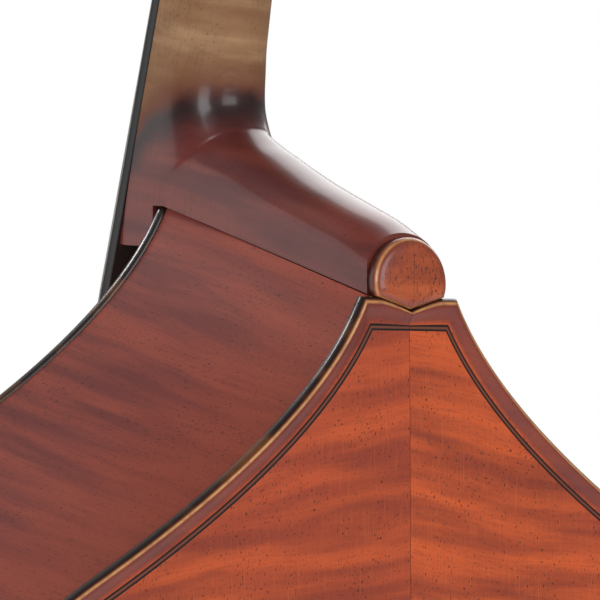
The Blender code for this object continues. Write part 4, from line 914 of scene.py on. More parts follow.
def silk(name, colour):
    """The thread wrapping at a string's ends."""
    s = Shading(name, roughness=0.72, specular=0.25)
    along, around, _ = s.split(s.grain())
    lay = s.math("ADD", s.math("MULTIPLY", along, 2600.0), s.math("MULTIPLY", around, 500.0))
    thread = s.math("PINGPONG", lay, 1.0)
    fluff = s.noise(s.grain(), (400, 900, 1), 2.0)
    base = s.mix(s.math("MULTIPLY", thread, 0.45), colour, tuple(0.35 * c for c in colour))
    base = s.tint(base, tuple(min(1.0, 1.6 * c) for c in colour), s.span(fluff, 0.6, 0.8), 0.3)
    s.shader.inputs["Sheen Weight"].default_value = 0.3
    return s.finish(base, None, s.bump(thread, 0.00012, 0.7))


def rubber(name):
    """Black rubber with pale scuffs."""
    s = Shading(name, roughness=0.72, specular=0.3)
    specks = s.noise(s.place(), (900, 900, 900), 2.0)
    scuffs = s.noise(s.place(), (80, 80, 30), 4.0, 0.65)
    base = s.mix(s.span(scuffs, 0.48, 0.74), srgb(26, 26, 27), srgb(58, 56, 54))
    rough = s.math("ADD", 0.62, s.math("MULTIPLY", scuffs, 0.2))
    return s.finish(base, rough, s.bump(specks, 0.00008, 0.5))


# ---------------------------------------------------------------- ribs
BELLY_PLATE = 0.007                # thickness of the belly at its edge
INNER_FRONT_Y = FRONT_Y + BELLY_PLATE + GAP
RIB_COUNTS = {"upper": 140, "waist": 70, "lower": 150}
RIB_ROWS = 12


def back_inner_y(drop):
    """The y just inside the back."""
    return float(back_plane(drop)) - PLATE - GAP


def started(line, drop):
    """The line with its first point exactly at a drop: prolonged, or cut there."""
    if line[0][1] > drop:
        step = line[0] - line[1]
        return np.concatenate([[line[0] + step * (drop - line[0][1]) / step[1]], line[1:]])
    return clipped(line, np.array((0.0, drop)), np.array((0.0, 1.0)))


def rib_line(points, distance, corners, count, start):
    """One face's outline, from its start or corner to the next corner, evenly spaced."""
    line = inset(points, distance)
    if start is not None:
        line = started(line, start)
    middle = points[len(points) // 2]
    for tip, inward in corners:
        normal = np.array((-inward[1], inward[0]))
        line = clipped(line, tip, normal * np.sign((middle - tip) @ normal))
    return resampled(line, count)


def rib_mesh(side, points, corners, count, start=None):
    """A bent strip: two faces and four edges, with its grain running along it."""
    lowered = [(np.array((tip[0], tip[1] + back_shear(tip[1]))), way) for tip, way in corners]
    lines = []
    for distance in (OVERHANG, OVERHANG + RIB_THICKNESS):
        back_start = None if start is None else start + BACK_TOP_DROP
        front = rib_line(points, distance, corners, count, start)
        back = rib_line(sheared(points), distance, lowered, count, back_start)
        lines.append((front, back))
    along = lengths(lines[0][0])
    sections, grain = [], []
    for i in range(count):
        ring = []
        for (front, back), order in zip(lines, (1, -1)):
            for t in [k / (RIB_ROWS - 1) for k in range(RIB_ROWS)][::order]:
                x, drop = front[i] + (back[i] - front[i]) * t
                y = INNER_FRONT_Y + (back_inner_y(back[i][1]) - INNER_FRONT_Y) * t
                ring.append((side * max(x, RIB_SEAM), y, NECK_Z - drop))
                grain.append((along[i] + points[0][1], y - FRONT_Y, side * 0.3 + 0.05 * order))
        sections.append(ring)
    mesh = loft("rib", sections, grain)
    return smooth_mesh(mesh, math.radians(45))


def make_ribs(side, label, material):
    """The upper, waist and lower rib of one side."""
    upper, waist, lower = half_outline()
    top_corner, low_corner = mitre(upper, waist), mitre(waist, lower)
    for part, points, corners, start in (("upper", upper, [top_corner], GAP),
                                         ("waist", waist, [top_corner, low_corner], None),
                                         ("lower", lower, [low_corner], None)):
        mesh = rib_mesh(side, points, corners, RIB_COUNTS[part], start)
        name = "rib_" + part + "_" + label
        piece(name + "_strip", mesh, material, [name])


# ---------------------------------------------------------------- belly
F_EYES = ((0.082, 0.545, 0.0105), (0.142, 0.700, 0.0145))     # half width, drop and radius
F_SLOT_START, F_SLOT_LENGTH = 0.540, 0.168
BELLY_GRAIN = 0.4                  # where its wood is cut from
BELLY_STEPS = 26
RIM_STEPS = 8                      # of these, the ones whose inner face takes the rim's dark colour
RIM_UNDERSIDE, BARE_UNDERSIDE, OPEN_FACE = -0.01, 0.03, 0.017  # "edge" values away from the rim
SPINE_ENDS = (0.13, 0.985)         # drops between which the arch runs along the middle
SHOULDER_OVERHANG = 0.0015
SHOULDER_FADE = 0.15               # where the overhang starts to grow, and over what length
NOTCH_HALF, NOTCH_DEPTH = 0.0320, 0.0168       # for the saddle


def belly_arch(drop):
    """The spine's height above the edge, falling away at both ends."""
    ends = np.clip(drop / 0.32, 0, 1), np.clip((BODY_LENGTH - drop) / 0.30, 0, 1)
    return ARCH_HEIGHT * math.sin(math.pi / 2 * ends[0]) * math.sin(math.pi / 2 * ends[1])


def tucked(points):
    """The belly's shoulder: its edge stands out less beside the neck."""
    share = 1 - smoothstep(points[:, 1], SHOULDER_FADE, SHOULDER_FADE)
    inward = inset(points, 1) - points
    return points + inward * ((OVERHANG - SHOULDER_OVERHANG) * share)[:, None]


def f_hole_outlines():
    """The two eyes of an f-hole and its slot, as (half width, drop)."""
    outlines = [circle(radius, 48, x, drop) for x, drop, radius in F_EYES]
    inner, outer = [], []
    for t in np.linspace(0, 1, 40):
        x = 0.0935 + 0.035 * t + 0.0125 * math.sin(2 * math.pi * t)
        half = 0.0028 + 0.0062 * math.sin(math.pi * t)
        inner.append((x - half, F_SLOT_START + F_SLOT_LENGTH * t))
        outer.append((x + half, F_SLOT_START + F_SLOT_LENGTH * t))
    return outlines + [inner + outer[::-1]]


def make_belly(side, label, material):
    """A belly half: carved edge, arch up to the centre joint, and an inner face below it."""
    parts = half_outline()
    parts[0] = tucked(parts[0])
    points, grain, edge = [], [], []
    rings = [half_ring(parts, d, belly_top_line) for d, _ in EDGE_PROFILE]
    count = len(rings[0])

    def add_ring(ring, lift, distance):
        """One more ring of points, each lifted off the rim's plane."""
        for (x, drop), up in zip(ring, lift):
            points.append((side * max(x, PLATE_SEAM), FRONT_Y - up, NECK_Z - drop))
            grain.append((side * x, drop, BELLY_GRAIN))
            edge.append(distance)

    for (distance, height), ring in zip(EDGE_PROFILE, rings):
        add_ring(ring, [height] * count, edge_mark(distance, height))
    last = rings[-1]
    low, high = SPINE_ENDS
    spine = np.array([(0.0, min(max(drop, low), high)) for _, drop in last])
    rises = []
    for step in range(1, BELLY_STEPS + 1):
        t = step / BELLY_STEPS
        ring = last + (spine - last) * t
        rise = (1 - math.cos(math.pi * t)) / 2
        channel = EDGE_PROFILE[-1][1] * max(0, 1 - t / 0.3) ** 2
        lift = [rise * belly_arch(drop) for _, drop in ring]
        rises.append((ring, lift))
        add_ring(ring, [up + channel for up in lift], OPEN_FACE)
    for step, (ring, lift) in reversed(list(enumerate(rises, 1))):
        mark = BARE_UNDERSIDE if step > RIM_STEPS else RIM_UNDERSIDE
        add_ring(ring, [up - PLATE for up in lift], mark)
    add_ring(last, [-PLATE] * count, RIM_UNDERSIDE)
    total = len(points) // count
    faces = grid_faces(total, count)
    closing = (total - 1) * count
    faces += [(closing + i, closing + i + 1, i + 1, i) for i in range(count - 1)]
    faces.append(tuple(r * count for r in range(total)))
    faces.append(tuple(r * count + count - 1 for r in reversed(range(total))))
    mesh = mesh_of("belly", points, faces, grain, {"edge": edge})
    with editing(mesh) as work:
        bmesh.ops.remove_doubles(work, verts=work.verts, dist=WELD)
        bmesh.ops.dissolve_degenerate(work, edges=work.edges, dist=0.5 * WELD)
        bmesh.ops.triangulate(work, faces=[f for f in work.faces if len(f.verts) > 4])
        bmesh.ops.recalc_face_normals(work, faces=work.faces)
    rim = KDTree(len(mesh.vertices))
    for vertex in mesh.vertices:
        rim.insert(vertex.co, vertex.index)
    rim.balance()
    distances = [row.value for row in mesh.attributes["edge"].data]
    for outline in f_hole_outlines():
        tool = extruded("f_hole", [outline], 0.09)
        tool = moved(tool, lambda p: (side * p.x, FRONT_Y - 0.01 + p.z, NECK_Z - p.y))
        mesh = boolean(mesh, tool)
    reach = NOTCH_HALF + GAP
    notch = block_mesh((-reach, FRONT_Y - 0.05, BODY_BOTTOM - 0.01),
                       (reach, FRONT_Y + 0.05, BODY_BOTTOM + NOTCH_DEPTH))
    mesh = boolean(mesh, notch)
    for vertex in mesh.vertices:
        mesh.attributes["edge"].data[vertex.index].value = distances[rim.find(vertex.co)[1]]
        place = (vertex.co.x, NECK_Z - vertex.co.z, BELLY_GRAIN)
        mesh.attributes["grain"].data[vertex.index].vector = place
    mesh = smooth_mesh(mesh, math.radians(50))
    return piece("belly_plate_" + label, mesh, material, ["belly_" + label])


def block_mesh(low, high):
    """A box between two corners."""
    mesh = bpy.data.meshes.new("block")
    work = bmesh.new()
    bmesh.ops.create_cube(work, size=1.0)
    work.to_mesh(mesh)
    work.free()
    centre = [(a + b) / 2 for a, b in zip(low, high)]
    size = [b - a for a, b in zip(low, high)]
    mesh.transform(Matrix.LocRotScale(Vector(centre), None, Vector(size)))
    return mesh


# ---------------------------------------------------------------- neck and fingerboard
BOARD_END = -0.430
BOARD_HALF_NUT, BOARD_HALF_END = 0.0210, 0.0385
BOARD_SIDE = 0.0056
BOARD_CURVE = 0.080
NUT_LENGTH, NUT_RISE = 0.008, 0.0010
FOOT_DROP = 0.0195
FOOT_OFFSET = 0.015                # of the root's glued face, below the belly's edge
NECK_SQUARENESS = 2.25             # 2 is a half ellipse, more is squarer
END_RIDGE = -0.0074                # height of the heel's back edge under the button
JOINT_SLANT = BACK_TOP_DROP / (back_inner_y(BACK_TOP_DROP) - INNER_FRONT_Y)


def board_half(along):
    """The fingerboard's half width."""
    share = (NECK_LENGTH - along) / (NECK_LENGTH - BOARD_END)
    return BOARD_HALF_NUT + (BOARD_HALF_END - BOARD_HALF_NUT) * share


def board_top(along, x):
    """The height of the fingerboard's round face above the glue plane."""
    half = board_half(along)
    rise = math.sqrt(BOARD_CURVE ** 2 - x * x)
    return BOARD_SIDE + rise - math.sqrt(BOARD_CURVE ** 2 - half * half)


def neck_rows():
    """The neck's sections, from the nut round to the button.

    Each is the base's y and z, the ridge's y and z, the half width, the squareness, and the share
    of the height that is rounded.
    """
    rows = []
    # along, thickness, rounded share
    shaft = ((NECK_LENGTH, 0.0255, 0.99), (0.400, 0.0262, 0.99), (0.300, 0.0300, 0.98),
             (0.200, 0.0345, 0.97), (0.130, 0.0385, 0.93), (0.107, 0.0398, 0.90),
             (0.088, 0.0410, 0.86), (0.074, 0.0430, 0.80))
    for along, thick, cap in shaft:
        base, ridge = on_neck(along), on_neck(along, 0, thick)
        half = board_half(along) - 0.0005
        rows.append((base.y, base.z, ridge.y, ridge.z, half, NECK_SQUARENESS, cap))
    heel_end = back_inner_y(-END_RIDGE) - FRONT_Y
    fan = (
        # base y, base drop (or on the slanted joint), ridge y from the belly, ridge height,
        # half width, squareness, rounded share
        (on_neck(0.050).y, -0.050, 0.0345, 0.0600, 0.0283, 2.2, 0.70),
        (on_neck(0.030).y, -0.030, 0.0345, 0.0535, 0.0287, 2.2, 0.60),
        (on_neck(0.008).y, -0.008, 0.0370, 0.0470, 0.0288, 2.2, 0.51),
        (on_neck(-0.010).y, 0.010, 0.0400, 0.0422, 0.0285, 2.2, 0.46),
        (on_neck(-FOOT_DROP).y, FOOT_DROP, 0.0430, 0.0392, 0.0280, 2.2, 0.43),
        (FRONT_Y + 0.010, FOOT_DROP, 0.0530, 0.0335, 0.0268, 2.2, 0.41),
        (FRONT_Y + 0.030, None, 0.0640, 0.0287, 0.0261, 2.2, 0.40),
        (FRONT_Y + 0.050, None, 0.0760, 0.0234, 0.0257, 2.2, 0.40),
        (FRONT_Y + 0.075, None, 0.0930, 0.0164, 0.0252, 2.2, 0.39),
        (FRONT_Y + 0.105, None, 0.1155, 0.0085, 0.0247, 2.15, 0.38),
        (FRONT_Y + 0.135, None, 0.1385, 0.0004, 0.0242, 2.1, 0.37),
        (back_inner_y(BACK_TOP_DROP + FOOT_OFFSET), None, heel_end, END_RIDGE, 0.0236, 2.0, 0.37),
    )
    for y, drop, ridge_y, ridge_z, half, power, cap in fan:
        if drop is None:
            drop = (y - FRONT_Y) * JOINT_SLANT + FOOT_OFFSET
        rows.append((y, NECK_Z - drop, FRONT_Y + ridge_y, NECK_Z + ridge_z, half, power, cap))
    return rows


def make_neck(material):
    """Neck, root and heel as one smooth loft; the body's top is cut from below it."""
    rows = spline_rows(neck_rows(), 230)
    corners, sides = 36, 10
    sections, grain = [], []
    for y, z, ridge_y, ridge_z, half, power, cap in rows:
        right = [(half, (1 - cap) * k / sides) for k in range(sides)]
        for angle in np.linspace(0, math.pi / 2, corners):
            right.append((half * max(math.cos(angle), 0) ** (2 / power),
                          1 - cap + cap * math.sin(angle) ** (2 / power)))
        ring = []
        for x, rise in right + [(-x, rise) for x, rise in right[-2::-1]]:
            ring.append((x, y + (ridge_y - y) * rise, z + (ridge_z - z) * rise))
            rel_y, rel_z = ring[-1][1] - NECK_ROOT.y, ring[-1][2] - NECK_Z
            grain.append((rel_y * COS - rel_z * SIN + 0.3 * x, rel_y * SIN + rel_z * COS, x))
        sections.append(ring)
    mesh = loft("neck", sections, grain)
    belly_y, far = FRONT_Y - GAP, FRONT_Y + DEPTH_AT_NECK + 0.03
    depth, reach = -0.08, 0.06
    under = ((belly_y, depth), (belly_y, GAP), (INNER_FRONT_Y, GAP),
             (far, GAP - (far - INNER_FRONT_Y) * JOINT_SLANT), (far, depth))
    prism = loft("body_top", [[(x, y, NECK_Z + z) for y, z in under] for x in (-reach, reach)])
    mesh = smooth_mesh(boolean(mesh, prism), math.radians(40))
    return piece("neck_and_heel", mesh, material, ["neck"])


def make_fingerboard(material):
    """A long black board: curved playing face, softened long edges, flat underside."""
    sections = []
    soft, chamfer = 0.0012, 0.0004
    for along in np.linspace(NECK_LENGTH - GAP, BOARD_END, 90):
        half = board_half(along)
        corner = board_top(along, half - soft)
        face = [(x, -board_top(along, x)) for x in np.linspace(half - soft, soft - half, 25)]
        flank = [(half - chamfer, -GAP), (half, -GAP - chamfer), (half, -corner + soft),
                 (half - 0.35 * soft, -corner + 0.30 * soft)]
        ring = face + [(-x, depth) for x, depth in flank[::-1]] + flank
        sections.append([tuple(on_neck(along, x, depth)) for x, depth in ring])
    return piece("board", loft("fingerboard", sections), material, ["fingerboard"])


def make_nut(material):
    """The nut: as wide as the board, rounded over towards the pegbox, with softened ends."""
    sections = []
    soft = 0.0012
    low, high = NECK_LENGTH + GAP, NECK_LENGTH + NUT_LENGTH
    for along, fall in ((low, 0.0004), (low + 0.0006, 0.0), (low + 0.0030, 0.0),
                        (low + 0.0050, 0.0006), (high - 0.0012, 0.0018), (high, 0.0034)):
        ring = []
        for x in np.linspace(BOARD_HALF_NUT, -BOARD_HALF_NUT, 121):
            corner = 0.0008 * max(0, (abs(x) - BOARD_HALF_NUT + soft) / soft) ** 2
            depth = -board_top(NECK_LENGTH, x) - NUT_RISE + fall + corner
            ring.append(on_neck(along, x, depth))
        ring += [on_neck(along, -BOARD_HALF_NUT, -GAP), on_neck(along, BOARD_HALF_NUT, -GAP)]
        sections.append([tuple(p) for p in ring])
    return piece("nut_rounded", loft("nut", sections), material, ["nut"])


STRING_NAMES = ("g", "d", "a", "e")
STRING_RADII = (0.00075, 0.0010, 0.00125, 0.0015)
STRING_SIDES = (1.0, 1 / 3, -1 / 3, -1.0)
NUT_SPREAD, BRIDGE_SPREAD, TAIL_SPREAD = 0.0145, 0.0365, 0.0230


# ---------------------------------------------------------------- scroll head, in the neck's frame
CHEEK_HALF = 0.0270
MORTISE_HALF = 0.0180
POST_DEPTH = 0.0240
POST_RADIUS = 0.0048
POST_ALONG = {"e": 0.500, "g": 0.545, "a": 0.590, "d": 0.635}
SCROLL_DEPTH, SCROLL_ALONG = 0.0300, 0.742
BOX_START = NECK_LENGTH + GAP


def side_of(name):
    """The treble side's machines turn the g and d strings."""
    return 1 if name in "gd" else -1


# The mortise and the box's edges are drawn as (depth, along).
MORTISE = ((-0.030, 0.4575), (0.020, 0.4575), (0.038, 0.495), (0.046, 0.550), (0.050, 0.672),
           (-0.030, 0.672))
BOX_FRONT = ((0.0000, BOX_START), (0.0003, 0.456), (0.0035, 0.470), (0.0060, 0.520),
             (0.0070, 0.560), (0.0105, 0.610), (0.0140, 0.650), (0.0190, 0.684))
BOX_BACK = ((0.0740, 0.680), (0.0722, 0.650), (0.0700, 0.620), (0.0660, 0.560), (0.0560, 0.500),
            (0.0400, 0.460), (0.0268, BOX_START))


def sideways(side):
    """Turns +Z out to one side."""
    return Matrix.Rotation(side * math.pi / 2, 4, "Y")


def across_head(mesh):
    """A flat plate drawn in (depth, along) turned to lie across the head."""
    return moved(mesh, lambda p: (p.z, p.x, p.y))


SPIRAL_START = -118                # degrees
RIM_START, RIM_END = 0.0470, 0.0520


def scroll_rim():
    """The scroll's outer turn, opening a little on its way."""
    rim = []
    for t in np.linspace(0, 1, 90):
        angle = math.radians(SPIRAL_START - 270 * t)
        radius = RIM_START + (RIM_END - RIM_START) * t
        rim.append((SCROLL_DEPTH + radius * math.cos(angle),
                    SCROLL_ALONG + radius * math.sin(angle)))
    return rim


SPIRAL_TURNS = 2.15
SPIRAL_STEPS = 260
RIBBON_SECTION = ((0.0, -0.004), (0.0, -0.0006), (0.05, 0.0006), (0.14, 0.0010), (0.30, 0.0002),
                  (0.60, -0.0016), (0.90, -0.0036), (1.0, -0.0046))    # share of width, lift


def scroll_flank(side):
    """One side of the scroll: a hollowed ribbon that winds in and out, and its eye."""
    centre = np.array((SCROLL_DEPTH, SCROLL_ALONG))
    base = CHEEK_HALF - 0.012
    sections = []
    for i in range(SPIRAL_STEPS + 1):
        t = i / SPIRAL_STEPS
        angle = math.radians(SPIRAL_START) - 2 * math.pi * SPIRAL_TURNS * t
        outer = 0.0480 * (1 - t) ** 1.05 + 0.0085 * t
        wide = 0.0185 * (1 - t) ** 1.1 + 0.0042
        lift = CHEEK_HALF - 0.0012 + 0.0130 * t ** 0.85
        direction = np.array((math.cos(angle), math.sin(angle)))
        ring = []
        for u, v in RIBBON_SECTION:
            depth, along = centre + direction * max(outer - wide * u, 0.0004)
            ring.append((side * (lift + v), depth, along))
        for radius in (outer - wide, outer):
            depth, along = centre + direction * max(radius, 0.0004)
            ring.append((side * base, depth, along))
        sections.append(ring)
    eye = turned([(0, 0.0125), (0.0030, 0.0120), (0.0060, 0.0104), (0.0080, 0.0078),
                  (0.0088, 0.0040), (0.0088, -0.02), (0, -0.02)], 40)
    place = Matrix.Translation((side * CHEEK_HALF, *centre)) @ sideways(side)
    return [loft("ribbon", sections), placed(eye, place)]


def make_head(material):
    """Pegbox with its open mortise, and a scroll whose turns step out to the eye."""
    outline = list(spline_rows(BOX_FRONT, 50)) + scroll_rim() + list(spline_rows(BOX_BACK, 50))
    body = across_head(extruded("cheeks", [outline], 2 * CHEEK_HALF))
    body = bevelled(body, 0.0022, 3)
    mortise = across_head(extruded("mortise", [MORTISE], 2 * MORTISE_HALF))
    body = boolean(body, bevelled(mortise, 0.0012, 2))
    for name, along in POST_ALONG.items():
        hole = cylinder(POST_RADIUS + 0.0004, -0.0238, 0.05, 32)
        place = Matrix.Translation((0, POST_DEPTH, along)) @ sideways(side_of(name))
        body = boolean(body, placed(hole, place))
    shells = [body]
    for side in (-1, 1):
        shells += scroll_flank(side)
    body = joined("head", shells)
    grain = body.attributes.get("grain") or body.attributes.new("grain", "FLOAT_VECTOR", "POINT")
    for vertex, item in zip(body.vertices, grain.data):
        item.vector = (vertex.co.y + 0.3 * vertex.co.x, vertex.co.z, vertex.co.x)
    body = smooth_mesh(placed(body, NECK_MATRIX), math.radians(35))
    return piece("head_carving", body, material, ["scroll_head"])


# ---------------------------------------------------------------- tuning machines
PLATE_FACE = CHEEK_HALF + GAP + 0.0015
GEAR_MID = PLATE_FACE + 0.0048
WORM_DISTANCE = 0.0195
GEAR_PITCH, TEETH = 0.0150, 20
PLATE_HALF_DEPTH = 0.0150
PLATE_LOW, PLATE_HIGH = 0.0170, 0.0060


def neck_place(side, along, depth, out):
    """Turns a mesh made about Z so that it points out sideways from the head, and puts it there."""
    return NECK_MATRIX @ Matrix.Translation((side * out, depth, along)) @ sideways(side)


def make_machine_plate(name, material):
    """A brass plate with round corners, a hole for the post and four domed screws."""
    side, along = side_of(name), POST_ALONG[name]
    half, low, high = PLATE_HALF_DEPTH, -PLATE_LOW, WORM_DISTANCE + PLATE_HIGH
    soft = 0.006
    outline = []
    for x, z, start in ((half, high, 0), (-half, high, 90), (-half, low, 180), (half, low, 270)):
        for angle in np.linspace(start, start + 90, 8):
            centre = (x - math.copysign(soft, x), z - math.copysign(soft, z))
            outline.append((centre[0] + soft * math.cos(math.radians(angle)),
                            centre[1] + soft * math.sin(math.radians(angle))))
    plate = across_head(extruded("plate", [outline, circle(0.0056, 40)], 0.0013))
    plate = bevelled(plate, 0.0003, 2)
    place = Matrix.Translation((side * (PLATE_FACE - 0.00075), POST_DEPTH, along))
    meshes = [placed(plate, NECK_MATRIX @ place)]
    for depth in (-0.0105, 0.0105):
        for up in (low + 0.0045, high - 0.0045):
            place = neck_place(side, along + up, POST_DEPTH + depth, PLATE_FACE - 0.0002)
            meshes.append(placed(screw_head(0.0024), place))
    return piece("machine_plate_shaped_" + name, joined("plate", meshes), material,
                 ["machine_plate_" + name])


def screw_head(radius):
    """A domed screw head with a straight slot."""
    dome = turned([(0, 0.0009), (0.5 * radius, 0.0008), (0.85 * radius, 0.00045), (radius, 0.0),
                   (radius, -0.0003), (0, -0.0003)], 24)
    slot = block_mesh((-0.00028, -2 * radius, 0.00035), (0.00028, 2 * radius, 0.003))
    return boolean(dome, slot)


def make_key(name, material):
    """The worm, its shaft and the flat ear, on an axis along the neck's depth."""
    side, along = side_of(name), POST_ALONG[name]
    turns, pitch, steps = 3.5, 2 * math.pi * GEAR_PITCH / TEETH, 28
    shaft = turned([(0, 0.0553), (0.0022, 0.0550), (0.0026, 0.0540), (0.0026, 0.0090),
                    (0.0031, 0.0086), (0.0031, 0.0076), (0.0027, 0.0072), (0.0027, -0.0072),
                    (0.0031, -0.0076), (0.0031, -0.0086), (0.0026, -0.0090), (0.0026, -0.0122),
                    (0.0020, -0.0129), (0, -0.0130)], 40)
    length = turns * pitch
    route = []
    for i in range(int(turns * steps) + 1):
        angle = 2 * math.pi * i / steps
        height = pitch * i / steps - length / 2
        route.append((0.0031 * math.cos(angle), 0.0031 * math.sin(angle), height))
    thread = wire("thread", route, 0.00085, 8)
    outline = []
    for angle in np.linspace(0, 2 * math.pi, 72, endpoint=False):
        across = abs(math.sin(angle))
        wide = 0.0148 * (1 + 0.20 * across)
        tall = 0.064 - 0.0107 * math.cos(angle) * (1 - 0.25 * across)
        outline.append((wide * math.sin(angle), tall))
    ear = extruded("ear", [outline], 0.0030)
    ear = moved(bevelled(ear, 0.0011, 4), lambda p: (p.x, -p.z, p.y))
    neck = turned([(0, 0.0580), (0.0020, 0.0575), (0.0034, 0.0545), (0.0036, 0.0520),
                   (0.0030, 0.0500), (0.0026, 0.0490), (0, 0.0490)], 32)
    mesh = joined("key", [shaft, thread, ear, neck])
    place = Matrix.Translation((side * GEAR_MID, POST_DEPTH, along + WORM_DISTANCE))
    mesh = placed(mesh, NECK_MATRIX @ (place @ Matrix.Rotation(-math.pi / 2, 4, "X")))
    return piece("key_with_ear_" + name, mesh, material, ["tuning_key_" + name], "key_" + name)


def make_gear(name, material):
    """The wheel: twenty rounded teeth, a sunk web, and the screw that holds it to the post."""
    side, along = side_of(name), POST_ALONG[name]
    root, outer, thick = GEAR_PITCH - 0.0019, GEAR_PITCH + 0.0013, 0.0045
    outline = []
    flank = ((0.30, root), (0.22, root + 0.0004), (0.15, outer - 0.0006), (0.10, outer))
    for tooth in range(TEETH):
        for share, radius in [(-share, radius) for share, radius in flank] + list(flank[::-1]):
            angle = 2 * math.pi * (tooth + share) / TEETH
            outline.append((radius * math.cos(angle), radius * math.sin(angle)))
    wheel = extruded("wheel", [outline], thick)
    wheel = bevelled(wheel, 0.0002, 1, math.radians(60))
    face, crest = thick / 2, thick / 2 + 0.0004
    rim = turned([(0, face), (0.0062, face), (0.0066, crest), (0.0106, crest), (0.0110, face),
                  (0.0110, 0.0), (0, 0.0)], 48)
    screw = placed(screw_head(0.0036), Matrix.Translation((0, 0, face)))
    place = neck_place(side, along, POST_DEPTH, GEAR_MID)
    mesh = placed(joined("gear", [wheel, rim, screw]), place)
    return piece("gear_with_screw_" + name, mesh, material, ["gear_wheel_" + name],
                 "post_" + name)


def make_post(name, material):
    """The steel post, waisted where the string winds, with rounded ends."""
    side, along = side_of(name), POST_ALONG[name]
    near, far = GEAR_MID - 0.00225 - GAP, 0.0235
    profile = [(0, near), (0.0042, near), (POST_RADIUS, near - 0.0008), (POST_RADIUS, 0.0165),
               (0.0046, 0.0155), (0.0046, -0.0155), (POST_RADIUS, -0.0165),
               (POST_RADIUS, -far + 0.0008), (0.0042, -far), (0, -far)]
    mesh = placed(turned(profile, 40), neck_place(side, along, POST_DEPTH, 0))
    return piece("post_turned_" + name, mesh, material, ["tuning_post_" + name], "post_" + name)


# ---------------------------------------------------------------- strings
BRIDGE_Z = NECK_Z - STOP_DROP
BRIDGE_TOP_Y = FRONT_Y - 0.158
BRIDGE_CURVE = 0.085
BRIDGE_TOP_HALF = 0.0034
TAIL_TOP_DROP, TAIL_LENGTH, TAIL_HOLE, TAIL_THICKNESS = 0.765, 0.300, 0.030, 0.0090
SADDLE_TOP = FRONT_Y - 0.012
WIRE_RADIUS = 0.0016
WIRE_HALF_GAP = 0.0150
WIND_X = {"g": 0.0040, "d": 0.0015, "a": -0.0015, "e": -0.0040}
SILK_LENGTHS = (0.075, 0.060)      # at the tailpiece, and at the nut and post


def tail_line(distance, out=0.0, x=0.0):
    """A place on the tailpiece's middle plane: down it, out from it, and sideways."""
    top = Vector((0, BRIDGE_TOP_Y + 0.004, BRIDGE_Z))
    low = Vector((0, SADDLE_TOP - WIRE_RADIUS, NECK_Z - BODY_LENGTH + 0.012))
    way = (low - top).normalized()
    start = top + way * (TAIL_TOP_DROP - STOP_DROP) / -way.z
    return start + way * distance + Vector((0, way.z, -way.y)) * out + Vector((x, 0, 0))


COIL_TURNS, COIL_STEPS = 2.3, 24


def string_route(index):
    """A string's way: below the bridge, over it, over the nut, and round its post."""
    name, radius, share = STRING_NAMES[index], STRING_RADII[index], STRING_SIDES[index]
    tail_x, bridge_x, nut_x = share * TAIL_SPREAD, share * BRIDGE_SPREAD, share * NUT_SPREAD
    sag = BRIDGE_CURVE - math.sqrt(BRIDGE_CURVE ** 2 - bridge_x ** 2)
    over_bridge = Vector((bridge_x, BRIDGE_TOP_Y + sag - radius - 2 * GAP, BRIDGE_Z))
    lift = board_top(NECK_LENGTH, nut_x) + NUT_RISE + GAP + radius
    below = [tail_line(TAIL_HOLE, -0.002, tail_x),
             tail_line(TAIL_HOLE, TAIL_THICKNESS * 0.6, tail_x),
             tail_line(TAIL_HOLE - 0.0012, TAIL_THICKNESS + 0.0012, tail_x)]
    rests = (-BRIDGE_TOP_HALF, BRIDGE_TOP_HALF)
    low_rest, high_rest = (over_bridge + Vector((0, 0, z)) for z in rests)
    nut_start, nut_end = (on_neck(NECK_LENGTH + a, nut_x, -lift) for a in (0, NUT_LENGTH + 2 * GAP))
    wind = POST_RADIUS + GAP + radius
    step = (2 * radius + GAP) / COIL_STEPS
    start = Vector((NECK_LENGTH + NUT_LENGTH + 2 * GAP, -lift))
    reach = Vector((POST_ALONG[name], POST_DEPTH)) - start
    angle = math.atan2(reach.y, reach.x) - math.asin(wind / reach.length)
    x = WIND_X[name]
    coil = []
    for i in range(int(COIL_STEPS * COIL_TURNS) + 1):
        turn = angle + 2 * math.pi * i / COIL_STEPS
        coil.append(on_neck(POST_ALONG[name] + wind * math.sin(turn),
                            x + math.copysign(step * i, x), POST_DEPTH - wind * math.cos(turn)))
    return below, low_rest, high_rest, nut_start, nut_end, coil


def straight(start, end, count):
    """Evenly spaced points from start to end."""
    return [start + (end - start) * t for t in np.linspace(0, 1, count)]


def make_string(index, steel, wrapping):
    """A flat-wound string with thread wrapping at both ends, as one piece with two materials."""
    below, low_rest, high_rest, nut_start, nut_end, coil = string_route(index)
    radius, name = STRING_RADII[index], STRING_NAMES[index]
    share = SILK_LENGTHS[0] / (below[-1] - low_rest).length
    silk_end = below[-1] + (low_rest - below[-1]) * share
    lower = below[:-1] + straight(below[-1], silk_end, 12)
    speaking = straight(silk_end, low_rest, 12) + straight(low_rest, high_rest, 4)[1:]
    long = (nut_start - high_rest).length
    silk_start = nut_start + (high_rest - nut_start) * (SILK_LENGTHS[1] / long)
    speaking += straight(high_rest, silk_start, 60)[1:]
    upper = straight(silk_start, nut_start, 10) + straight(nut_start, nut_end, 4)[1:]
    upper += straight(nut_end, coil[0], 10)[1:-1] + coil
    ends = [wire("silk_low", lower, radius, 14), wire("silk_high", upper, radius, 14)]
    core = wire("core", speaking, radius * 0.97, 14)
    made = piece("string_wound_" + name, joined("string", [core] + ends), steel,
                 ["string_" + name])
    made.data.materials.append(wrapping)
    core_faces = len(core.polygons)
    for i, polygon in enumerate(made.data.polygons):
        polygon.material_index = 0 if i < core_faces else 1
    return made


